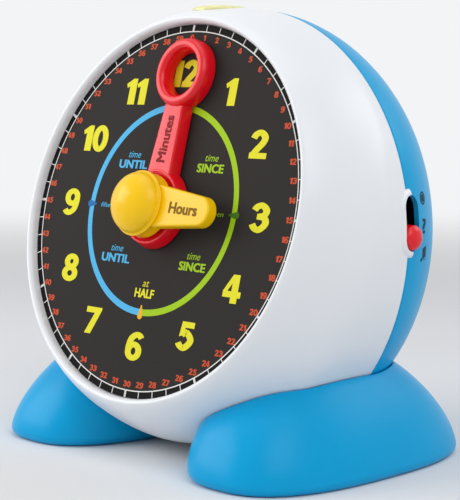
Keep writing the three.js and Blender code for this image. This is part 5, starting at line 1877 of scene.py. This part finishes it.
@dataclass
class MinuteHand:
    """The red minute hand: a hub with a raised rim, a drafted arm, a finger ring and a pointed nib."""

    turn: float = radians(3.6)
    lift: float = 0.5
    thickness: float = 5.9
    draft: float = 1.6
    hub_radius: float = 19.5
    shoulder: float = 0.55
    shoulder_drop: float = 0.15
    rim_rise: float = 0.4
    rim_inset: float = 0.85
    rim_drop: float = 0.25
    rim_bead: float = 0.3
    # The slope down into the hub's dish: how far in from the hub's edge, and how deep.
    dish_slope: tuple[tuple[float, float], ...] = ((1.6, 0.3), (2.2, 0.6))
    dish_edge: float = 1.5
    bore: float = 3.3
    past: float = 2.0
    arm_root: float = 17.6
    arm_tip: float = 12.4
    arm_steps: int = 24
    ring_centre: float = 65.0
    ring_outer: float = 17.0
    ring_hole: float = 10.7
    ring_thickness: float = 8.0
    ring_foot: float = 0.5
    ring_steps: int = 14
    roundness: float = 2.7
    nib_reach: float = 82.9
    nib_width: float = 4.6
    nib_low: float = 2.8
    nib_thickness: float = 2.6
    nib_cut: float = 0.2
    nib_tip_half: float = 0.3
    nib_edge: float = 0.25
    edge: float = 0.9
    edge_steps: int = 4
    sides: int = 128
    word: Word = Word("Minutes", 22.8, 5.8, weight=0.08)
    word_ink: float = 0.1
    word_place: tuple[float, float] = (-0.3, 32.7)

    @property
    def front(self) -> float:
        """Height of the front face ahead of the dial."""
        return self.lift + self.thickness

    @property
    def hub_top(self) -> float:
        """Radius of the hub's front."""
        return self.hub_radius - self.draft

    def hub(self) -> Shape:
        """Makes the hub, whose sides spread to the back, with a thin raised rim round a shallow dish.

        Returns:
            The hub.
        """
        low, high, top = self.lift, self.front, self.hub_top
        profile = [(self.bore, low)]
        profile += arc((self.hub_radius - self.edge, low + self.edge), self.edge, -90, 0, self.edge_steps)
        profile += arc((top - self.shoulder, high - self.shoulder_drop), self.shoulder, 15, 90, 6)
        bead = (top - self.rim_inset, high + self.rim_rise - self.rim_drop)
        profile += arc(bead, self.rim_bead, 60, 150, 5)
        profile += [(top - inset, high - depth) for inset, depth in self.dish_slope]
        profile += [(self.bore, profile[-1][1])]
        return turned(profile, self.sides)

    def dish(self) -> Shape:
        """Makes a cutter for the hub's dish, where the arm runs into it.

        Returns:
            The cutter.
        """
        slope = [(self.hub_top - inset, self.front - depth) for inset, depth in reversed(self.dish_slope)]
        over = self.front + self.past
        profile = [(0, slope[0][1]), *slope, (self.hub_top - self.dish_edge, over), (0, over)]
        return turned(profile, self.sides)

    def ring(self) -> Shape:
        """Makes the finger ring, a bead with a flat back and a full round crest.

        Returns:
            The ring.
        """
        middle, half = (self.ring_outer + self.ring_hole) / 2, (self.ring_outer - self.ring_hole) / 2
        power, foot = 2 / self.roundness, self.ring_foot
        rise = self.ring_thickness - foot
        side = [(half - foot, self.lift)]
        side += [(half * cos(a) ** power, self.lift + foot + rise * sin(a) ** power)
                 for a in np.linspace(0, pi / 2, self.ring_steps)[:-1]]
        profile = [(middle + x, z) for x, z in side] + [(middle, self.lift + self.ring_thickness)]
        profile += [(middle - x, z) for x, z in reversed(side)]
        return turned(profile, self.sides, Matrix.Translation((0, self.ring_centre, 0)))

    def arm(self) -> Shape:
        """Makes the arm between the hub and the ring.

        Returns:
            The arm.
        """
        end = self.ring_centre - self.ring_outer + self.draft
        root, tip = self.arm_root / 2, self.arm_tip / 2
        right = [(root + (tip - root) * s, s * end) for s in np.linspace(0, 1, self.arm_steps)]
        left = [(-x, y) for x, y in reversed(right)]
        return rounded_plate(np.array(right + left), self.lift, self.front, self.edge, draft=self.draft)

    def nib(self) -> Shape:
        """Makes the pointed nib beyond the ring.

        Returns:
            The nib.
        """
        start = self.ring_centre + (self.ring_outer + self.ring_hole) / 2
        end, half, tip = self.nib_reach - self.nib_cut, self.nib_width / 2, self.nib_tip_half
        outline = np.array([(-half, start), (half, start), (tip, end), (-tip, end)])
        return rounded_plate(outline, self.nib_low, self.nib_low + self.nib_thickness, self.nib_edge, 2)

    def dress(self) -> None:
        """Builds the hand, turned a little past the hour, and its word."""
        obj = make_object("red_minute_hand", self.arm())
        for tool in (self.hub(), self.ring(), self.nib()):
            obj = combine(obj, tool, "UNION")
        obj = combine(obj, self.dish())
        obj = combine(obj, cylinder((0, 0, -1), (0, 0, self.front + self.past), self.bore))
        place = DRUM.dial_matrix() @ Matrix.Rotation(-self.turn, 4, "Z")
        obj = make_object("red_minute_hand", shape_of(obj).moved(place))
        finish_piece(obj, RED_ABS, Body.MINUTE, "red_plastic", "minute_hand")
        at = Matrix.Translation((*self.word_place, self.front)) @ Matrix.Rotation(pi / 2, 4, "Z")
        word = self.word.shape(self.word_ink).moved(place @ at)
        finish_piece(make_object("minute_hand_word", word), DARK_RED_INK, Body.MINUTE, "red_plastic")


@dataclass
class HourHand:
    """The yellow hour hand, one moulding with its mushroom knob."""

    turn: float = radians(91.8)
    foot: float = 7.0
    foot_edge: float = 1.0
    lift: float = 8.4
    thickness: float = 5.5
    draft: float = 0.3
    reach: float = 46.9
    arm_root: float = 22.4
    arm_tip: float = 13.8
    arm_steps: int = 16
    tip_steps: int = 28
    knob_radius: float = 15.6
    knob_foot: float = 15.2
    knob_waist: float = 14.7
    # The flare from the waist to the rim: how far out from the waist, and how far below the rim.
    flare: tuple[tuple[float, float], ...] = ((0.0, 2.4), (0.2, 1.1), (0.5, 0.15))
    bead: float = 0.6
    dome_radius: float = 14.6
    dome_power: float = 1.22
    dome_step: float = 0.3
    dome_groove: float = 0.1
    dome_start: float = 0.03
    dome_steps: int = 26
    knob_rise: float = 17.0
    rim: float = 1.4
    edge: float = 0.9
    sides: int = 128
    word: Word = Word("Hours", 18.8, 5.4, weight=0.08)
    word_ink: float = 0.1
    word_y: float = 30.6

    @property
    def front(self) -> float:
        """Height of the front face ahead of the dial."""
        return self.lift + self.thickness

    def knob(self) -> Shape:
        """Makes the knob: a waisted base, a flared rim and a dome.

        Returns:
            The knob.
        """
        low, crown, edge = self.front, self.lift + self.knob_rise, self.foot_edge
        profile = [(0, self.foot)] + arc((self.knob_foot - edge, self.foot + edge), edge, -90, 0, 4)
        profile += [(self.knob_waist + out, low - drop) for out, drop in self.flare]
        profile += arc((self.knob_radius - self.bead, low + self.bead), self.bead, -60, 75, 7)
        profile += [(self.dome_radius + self.dome_step, low + self.rim - self.dome_groove)]
        height = crown - low - self.rim
        profile += [(self.dome_radius * cos(a) ** self.dome_power, low + self.rim + height * sin(a))
                    for a in np.linspace(self.dome_start, pi / 2, self.dome_steps)[:-1]]
        return turned(profile + [(0, crown)], self.sides)

    def arm(self) -> Shape:
        """Makes the arm with its round tip, pointing up the dial.

        Returns:
            The arm.
        """
        root, tip = self.arm_root / 2, self.arm_tip / 2
        end = self.reach - tip
        right = [(root + (tip - root) * s, s * end) for s in np.linspace(0, 1, self.arm_steps)]
        outline = right + arc((0, end), tip, 0, 180, self.tip_steps)[1:-1]
        outline += [(-x, y) for x, y in reversed(right)]
        return rounded_plate(np.array(outline), self.lift, self.front, self.edge, draft=self.draft)

    def dress(self) -> None:
        """Builds the hand, turned a little past three o'clock, and its word."""
        obj = combine(make_object("yellow_hour_hand", self.arm()), self.knob(), "UNION")
        place = DRUM.dial_matrix() @ Matrix.Rotation(-self.turn, 4, "Z")
        obj = make_object("yellow_hour_hand", shape_of(obj).moved(place))
        finish_piece(obj, YELLOW_ABS, Body.HOUR, "yellow_plastic", "hour_hand")
        at = Matrix.Translation((0, self.word_y, self.front)) @ Matrix.Rotation(pi / 2, 4, "Z")
        word = self.word.shape(self.word_ink).moved(place @ at)
        finish_piece(make_object("hour_hand_word", word), MUSTARD_INK, Body.HOUR, "yellow_plastic")


@dataclass
class TopButton:
    """The see-through button and the spring under it."""

    setback: float = 39.4
    crown: float = 97.086
    radius: float = 13.6
    dome: float = 1.6
    dome_inset: float = 0.6
    dome_start: float = 0.12
    dome_steps: int = 24
    edge_width: float = 0.4
    edge_height: float = 0.8
    skirt: float = 5.4
    wall: float = 1.6
    corner: float = 1.0
    flange: float = 1.2
    flange_thickness: float = 1.6
    sides: int = 128
    switch_x: float = 3.3
    plunger_radius: float = 2.0
    spring_radius: float = 10.6
    spring_wire: float = 1.0
    spring_turns: float = 4.5
    spring_steps: int = 40
    wire_sides: int = 12
    travel: float = 2.2

    @property
    def y(self) -> float:
        """Place of the button's axis along Y."""
        return self.setback - DRUM.set_forward

    @property
    def edge_z(self) -> float:
        """Height of the edge of the dome."""
        return DRUM.dial_height + self.crown - self.dome

    def cap(self) -> Shape:
        """Makes the cap with its flange, turned about the button's own axis.

        Returns:
            The cap.
        """
        edge, radius, corner = self.edge_z, self.radius, self.corner
        high = edge - self.skirt - DRUM.gap
        low = high - self.flange_thickness
        inner, roof = radius - self.wall, edge - self.wall
        profile = [(0, roof), (inner - corner, roof)] + arc((inner - corner, roof - corner), corner, 90, 0, 4)
        profile += [(inner, low), (radius + self.flange, low), (radius + self.flange, high), (radius, high),
                    (radius, edge - self.edge_height)]
        profile += [(radius - self.edge_width + self.edge_width * cos(a),
                     edge - self.edge_height + self.edge_height * sin(a))
                    for a in np.linspace(0, pi / 3, 4)[1:]]
        spread = radius - self.dome_inset
        profile += [(spread * cos(a), edge + self.dome * sin(a))
                    for a in np.linspace(self.dome_start, pi / 2, self.dome_steps)[:-1]]
        profile += [(0, DRUM.dial_height + self.crown)]
        return turned(profile, self.sides, Matrix.Translation((0, self.y, 0)))

    def spring(self, low: float, high: float) -> Shape:
        """Makes the spring under the cap as one round wire.

        Args:
            low: height of its lower end.
            high: height of its upper end.

        Returns:
            The wire.
        """
        turns = np.linspace(0, self.spring_turns * TURN, int(self.spring_turns * self.spring_steps) + 1)
        wire = self.spring_wire / 2
        rings = []
        for turn, height in zip(turns, np.linspace(low + wire, high - wire, len(turns))):
            out = np.array([cos(turn), sin(turn), 0])
            centre = out * self.spring_radius + [0, self.y, height]
            rings.append([centre + wire * (cos(a) * out + sin(a) * np.array([0, 0, 1]))
                          for a in np.arange(self.wire_sides) / self.wire_sides * TURN])
        rings = np.array(rings)
        return grid_shape(rings, first=rings[0].mean(axis=0), last=rings[-1].mean(axis=0))

    def dress(self) -> None:
        """Builds the cap and the spring."""
        start = (self.switch_x, self.y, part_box("top_button")[0][2] / MM)
        end = (self.switch_x, self.y, self.edge_z - self.wall / 2)
        plunger = cylinder(start, end, self.plunger_radius)
        obj = combine(make_object("pale_top_button", self.cap()), plunger, "UNION")
        finish_piece(obj, CLEAR_YELLOW, Body.BUTTON, "clear_yellow_plastic", "top_button")
        low, high = (corner[2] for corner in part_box("button_spring"))
        coil = make_object("button_spring_coil", self.spring(low / MM, high / MM))
        finish_piece(coil, STEEL, Body.CASE, "steel", "button_spring")
        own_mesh(coil)


@dataclass
class ModeSlider:
    """The red slider: a domed knob on a plate behind the slot, and the signs of its three places."""

    knob_radius: float = 5.75
    knob_past: float = 0.65
    dome_drop: float = 0.4
    dome_steps: int = 18
    sides: int = 96
    proud: float = 3.0
    plate_half_width: float = 6.8
    plate_half_height: float = 16.5
    plate_thickness: float = 2.0
    plate_edge: float = 0.2
    plate_inset: float = 9.3
    lever: float = 3.0
    dot_radius: float = 1.9
    ring_radii: tuple[float, float] = (2.25, 3.1)
    question: Word = Word("?", 4.6, 7.0, weight=0.07)
    note: Word = Word("♫", 6.4, 7.0, weight=0.03)
    sign_y: float = 24.8
    sign_drop: float = 2.0
    sign_pitch: float = 12.8
    sign_ink: float = 0.06
    sign_lift: float = 0.02

    def dress(self) -> None:
        """Builds the slider."""
        y, z = SLOT.centre
        back = SLOT.side_x - self.plate_inset - self.plate_thickness
        facing = Matrix.Rotation(pi / 2, 4, "Y")
        place = Matrix.Translation((back, y, z - SLOT.travel / 2)) @ facing
        length = SLOT.side_x + self.knob_past - back
        profile = [(0, 0), (self.knob_radius, 0), (self.knob_radius, length - self.dome_drop)]
        profile += [(self.knob_radius * cos(a),
                     length - self.dome_drop + (self.proud + self.dome_drop) * sin(a))
                    for a in np.linspace(0, pi / 2, self.dome_steps)[1:-1]]
        knob = turned(profile + [(0, length + self.proud)], self.sides, place)
        outline = rectangle(self.plate_half_height, self.plate_half_width)
        plate = rounded_plate(outline, 0, self.plate_thickness, self.plate_edge, 2).moved(place)
        half = self.lever / 2 + DRUM.gap
        low = Matrix.Translation((back - self.plate_thickness / 2, y, z - SLOT.travel / 2)) @ facing
        notch = rounded_plate(rectangle(half, half), 0, self.plate_thickness, NO_EDGE, 1).moved(low)
        obj = combine(make_object("red_mode_slider", plate), knob, "UNION")
        finish_piece(combine(obj, notch), RED_ABS, Body.SLIDER, "red_plastic", "mode_slider")

    def laid(self, sign: Shape, height: float) -> Shape:
        """Lays a sign of unit thickness on the drum's skin.

        Args:
            sign: drawn about the origin in the XY plane.
            height: of its middle.

        Returns:
            The sign, bent with the skin.
        """
        reach, behind = SLOT.skin_x(self.sign_y + np.array([0.0, 1.0]), np.full(2, height))
        tilt = atan2(reach - behind, 1.0)
        shape = sign.moved(Matrix.Rotation(pi / 2, 4, "Z") @ Matrix.Rotation(pi / 2, 4, "X"))
        ink, across, up = shape.points.T
        y, z = self.sign_y + across * cos(tilt), height + up
        skin = SLOT.skin_x(y, z)
        shape.points = np.column_stack([skin + self.sign_ink * ink + self.sign_lift, y, z])
        return shape

    def signs(self) -> None:
        """Prints a sign beside each of the three places: a dot in a ring, a question mark and a note."""
        dot, (inner, outer) = self.dot_radius, self.ring_radii
        disc = turned([(0, -0.5), (dot, -0.5), (dot, 0.5), (0, 0.5)], 24)
        disc = disc.plus(turned([(inner, -0.5), (outer, -0.5), (outer, 0.5), (inner, 0.5)], 48))
        middle = SLOT.centre[1] - self.sign_drop
        shapes = [self.laid(sign, middle + place * self.sign_pitch)
                  for sign, place in ((disc, 1), (self.question.shape(1.0), 0), (self.note.shape(1.0), -1))]
        obj = make_object("mode_signs", shapes[0].plus(*shapes[1:]))
        finish_piece(obj, NAVY_INK, Body.CASE, "blue_plastic")


@dataclass
class Fasteners:
    """Every screw of the clock, as one cross-recessed pan-head screw set in each place by rule."""

    head_radius: float = 3.2
    head_height: float = 2.2
    head_edge: float = 0.7
    head_power: float = 0.6
    head_start: float = 0.15
    head_steps: int = 7
    shank_radius: float = 1.5
    tip_radius: float = 0.4
    tip_reach: float = 1.6
    thread_start: float = 1.8
    thread_end: float = 0.8
    thread_rise: float = 0.28
    thread_pitch: float = 1.3
    recess_half_length: float = 1.8
    recess_half_width: float = 0.35
    recess_depth: float = 1.3
    recess_edge: float = 0.01
    sides: int = 24
    # A screw's points that lie this near to its widest ones, in shares, are its head.
    head_share: float = 0.9

    def screw(self, length: float) -> Object:
        """Makes one screw with its head above z = 0, its cross recess and its threaded shank.

        Args:
            length: of the shank.

        Returns:
            The screw.
        """
        root, edge, radius = self.shank_radius - self.thread_rise, self.head_edge, self.head_radius
        profile = [(0, -length), (self.tip_radius, -length + self.tip_radius),
                   (root, -length + self.tip_reach)]
        depth = -length + self.thread_start
        while depth < -self.thread_end:
            profile += [(self.shank_radius, depth), (root, depth + self.thread_pitch / 2)]
            depth += self.thread_pitch
        profile += [(root, 0), (radius, 0), (radius, edge)]
        profile += [(radius * cos(a) ** self.head_power, edge + (self.head_height - edge) * sin(a))
                    for a in np.linspace(self.head_start, pi / 2, self.head_steps)[:-1]]
        obj = make_object("pan_head_screw", turned(profile + [(0, self.head_height)], self.sides))
        blade = rounded_plate(rectangle(self.recess_half_length, self.recess_half_width),
                              self.head_height - self.recess_depth, self.head_height + 1, self.recess_edge, 1)
        for angle in (0, pi / 2):
            obj = combine(obj, blade.moved(Matrix.Rotation(angle, 4, "Z")))
        return obj

    def place(self, node: str) -> tuple[Vector, Vector, float]:
        """Finds where a screw of the construction sits.

        Args:
            node: the screw's node.

        Returns:
            The middle of its head's seat, the way it points and its length.
        """
        points = np.array([v.co[:] for v in frame["nodes"][node].data.vertices]) / MM
        centre = (points.max(axis=0) + points.min(axis=0)) / 2
        _, _, axes = np.linalg.svd(points - points.mean(axis=0), full_matrices=False)
        axis = axes[0]
        along = (points - centre) @ axis
        off = np.linalg.norm((points - centre) - np.outer(along, axis), axis=1)
        wide = off > off.max() * self.head_share
        if along[wide].mean() < 0:
            axis, along = -axis, -along
        core = points[wide].mean(axis=0)
        head = along.max() - self.head_height
        seat = core + axis * (head - (core - centre) @ axis)
        return Vector(seat), Vector(axis), head - along.min()

    def tree(self, pattern: Object) -> NodeTree:
        """Makes a tree that sets a screw on each point, turned to the point's facing.

        Args:
            pattern: the screw.

        Returns:
            The tree.
        """
        tree = geometry_tree("screws", {"Size": 1.0}, takes_points=True)
        given = add_node(tree, "NodeGroupInput").outputs
        screw = add_node(tree, "GeometryNodeObjectInfo", {"Object": pattern})
        facing = add_node(tree, "GeometryNodeInputNamedAttribute", {
            "Name": "facing"}, data_type="FLOAT_VECTOR")
        turn = add_node(tree, "FunctionNodeAlignEulerToVector", {"Vector": facing.outputs[0]}, axis="Z")
        placed = add_node(tree, "GeometryNodeInstanceOnPoints", {
            "Points": given["Geometry"], "Instance": screw.outputs["Geometry"], "Rotation": turn.outputs[0],
            "Scale": given["Size"]})
        end_tree(tree, placed.outputs[0], STEEL)
        return tree

    def dress(self) -> None:
        """Sets a screw in place of each plain one, all of one length by one geometry tree."""
        groups: dict[int, list[str]] = {}
        for name in frame["nodes"]:
            if "_screw" in name:
                groups.setdefault(round(self.place(name)[2]), []).append(name)
        for length, names in groups.items():
            pattern = self.screw(length)
            spots = [self.place(name) for name in names]
            places = bpy.data.meshes.new("screw_places")
            places.from_pydata([tuple(seat * MM) for seat, _, _ in spots], [], [])
            facing = places.attributes.new("facing", "FLOAT_VECTOR", "POINT")
            facing.data.foreach_set("vector", [v for _, axis, _ in spots for v in axis])
            obj = grown_from(self.tree(pattern), f"pan_head_screws_{length}mm", places)
            bpy.data.objects.remove(pattern)
            soften(obj)
            finish_piece(obj, STEEL, Body.CASE, "steel", *names)


@dataclass
class Innards:
    """The construction's own inner pieces, which keep their shapes and get their finishes."""

    finishes: dict = field(default_factory=lambda: {
        "black_plastic": BLACK_ABS,
        "white_gear_plastic": ACETAL,
        "steel": STEEL,
        "circuit_board": BOARD,
        "lamp_lens": CLEAR_EPOXY,
        "cell_jacket": CELL_JACKET,
        "speaker_paper": PAPER,
        "blue_cover_plastic": BLUE_TEXTURED,
        "white_plastic": WHITE_ABS,
        "blue_plastic": BLUE_ABS,
        "red_plastic": RED_ABS,
        "yellow_plastic": YELLOW_ABS,
        "clear_yellow_plastic": CLEAR_YELLOW,
        "printed_dial": DIAL_SHEET,
    })

    def dress(self) -> None:
        """Gives each of the construction's nodes the finish of its slot."""
        for part in frame["record"]["subparts"]:
            node = frame["nodes"][part["node"]]
            node.data.materials.clear()
            node.data.materials.append(self.finishes[part["material_slot"]].material())
        LOG.info("finishes on %d nodes", len(frame["nodes"]))


def pointing(azimuth: float, elevation: float) -> Vector:
    """A direction away from the clock, of angles in degrees from -Y towards +X and up."""
    turn, rise = radians(azimuth), radians(elevation)
    return Vector((sin(turn) * cos(rise), -cos(turn) * cos(rise), sin(rise)))


@dataclass(frozen=True)
class Lamp:
    """A soft rectangular lamp aimed at the clock: angles in degrees, lengths in metres, power in watts."""

    name: str
    azimuth: float
    elevation: float
    distance: float
    width: float
    height: float
    power: float


@dataclass
class Studio:
    """The floor, the light and the camera."""

    azimuth: float = 45.154
    elevation: float = 5.931
    roll: float = 0.291
    focal_px: float = 1514.1
    sensor_mm: float = 36.0
    camera_at: tuple[float, float, float] = (529.5, -526.7, 173.6)
    far_clip: float = 20.0
    aim_height: float = 105.0
    floor_radius: float = 4.0
    floor_colour: str = "#e8e9eb"
    floor_grain: str = "#e5e6e8"
    grain_scale: float = 900.0
    # The floor fades out between these distances from the clock, in metres.
    fade_start: float = 0.5
    fade_end: float = 1.6
    backdrop: str = "#f3f4f6"
    world_strength: float = 0.52
    lamps: tuple[Lamp, ...] = (
        Lamp("key_softbox", -46, 22, 0.95, 0.75, 0.6, 4.4),
        Lamp("right_softbox", 70, 40, 1.0, 0.6, 0.6, 2.5),
        Lamp("top_softbox", 10, 84, 1.0, 0.8, 0.8, 1.8),
        Lamp("rear_softbox", 150, 35, 1.2, 0.6, 0.6, 2.0),
    )

    def floor(self) -> None:
        """Makes a pale round floor that fades into the backdrop far from the clock."""
        rings = [(0, 0), (self.fade_start / MM, 0), (self.floor_radius / MM, 0)]
        obj = make_object("studio_floor", turned(rings, 96))
        material = bpy.data.materials.new("pale_floor")
        material.use_nodes = True
        tree = material.node_tree
        tree.nodes.clear()
        place = add_node(tree, "ShaderNodeTexCoord").outputs["Object"]
        reach = add_node(tree, "ShaderNodeVectorMath", {0: place}, operation="LENGTH")
        fade = add_node(tree, "ShaderNodeMapRange", {
            0: reach.outputs["Value"], 1: self.fade_start,
            2: self.fade_end}, interpolation_type="SMOOTHSTEP")
        grain = add_node(tree, "ShaderNodeTexNoise", {"Vector": place, "Scale": self.grain_scale})
        tint = add_node(tree, "ShaderNodeMix", {
            0: grain.outputs["Fac"], 6: linear(self.floor_colour),
            7: linear(self.floor_grain)}, data_type="RGBA")
        matt = add_node(tree, "ShaderNodeBsdfDiffuse", {"Color": tint.outputs[2]})
        clear = add_node(tree, "ShaderNodeBsdfTransparent")
        mixed = add_node(tree, "ShaderNodeMixShader", {
            0: fade.outputs[0], 1: matt.outputs[0], 2: clear.outputs[0]})
        add_node(tree, "ShaderNodeOutputMaterial", {"Surface": mixed.outputs[0]})
        obj.data.materials.append(material)

    def world(self) -> None:
        """Makes a soft world that the camera and gloss see as the pale backdrop."""
        world = bpy.data.worlds.new("studio_world")
        world.use_nodes = True
        tree = world.node_tree
        tree.nodes.clear()
        path = add_node(tree, "ShaderNodeLightPath").outputs
        seen = add_node(tree, "ShaderNodeMath", {
            0: path["Is Camera Ray"], 1: path["Is Glossy Ray"]}, operation="MAXIMUM")
        seen = add_node(tree, "ShaderNodeMath", {
            0: seen.outputs[0], 1: path["Is Transmission Ray"]}, operation="MAXIMUM")
        strength = add_node(tree, "ShaderNodeMapRange", {0: seen.outputs[0], 3: self.world_strength, 4: 1.0})
        light = add_node(tree, "ShaderNodeBackground", {
            "Color": linear(self.backdrop), "Strength": strength.outputs[0]})
        add_node(tree, "ShaderNodeOutputWorld", {"Surface": light.outputs[0]})
        bpy.context.scene.world = world

    def light(self) -> None:
        """Sets the soft lamps round the clock."""
        for lamp in self.lamps:
            data = bpy.data.lights.new(lamp.name, "AREA")
            data.shape = "RECTANGLE"
            data.size, data.size_y = lamp.width, lamp.height
            data.energy = lamp.power
            obj = bpy.data.objects.new(lamp.name, data)
            away = pointing(lamp.azimuth, lamp.elevation)
            obj.location = Vector((0, 0, self.aim_height * MM)) + away * lamp.distance
            obj.rotation_euler = away.to_track_quat("Z", "Y").to_euler()
            bpy.context.scene.collection.objects.link(obj)

    def camera(self) -> None:
        """Sets the camera at the photograph's place and angle."""
        data = bpy.data.cameras.new("camera")
        data.sensor_width = self.sensor_mm
        data.lens = self.focal_px / PHOTO_HEIGHT_PX * self.sensor_mm
        data.clip_end = self.far_clip
        obj = bpy.data.objects.new("camera", data)
        obj.location = Vector(self.camera_at) * MM
        turn = pointing(self.azimuth, self.elevation).to_track_quat("Z", "Y").to_matrix().to_4x4()
        obj.rotation_euler = (turn @ Matrix.Rotation(radians(self.roll), 4, "Z")).to_euler()
        bpy.context.scene.collection.objects.link(obj)
        bpy.context.scene.camera = obj

    def build(self) -> None:
        """Sets up the whole studio."""
        self.floor()
        self.world()
        self.light()
        self.camera()
        bpy.context.scene.view_settings.view_transform = "Standard"


def main() -> None:
    """Builds the clock's pieces in order and sets up the studio."""
    logging.basicConfig(level=logging.INFO, format="%(name)s: %(message)s")
    slider = ModeSlider()
    Innards().dress()
    for part in (FrontHousing(), RearHousing(), BatteryDoor(), Foot(1), Foot(-1), Dial(), MinuteHand(),
                 HourHand(), TopButton(), slider, Fasteners()):
        part.dress()
    slider.signs()
    Studio().build()


if __name__ == "__main__":
    main()
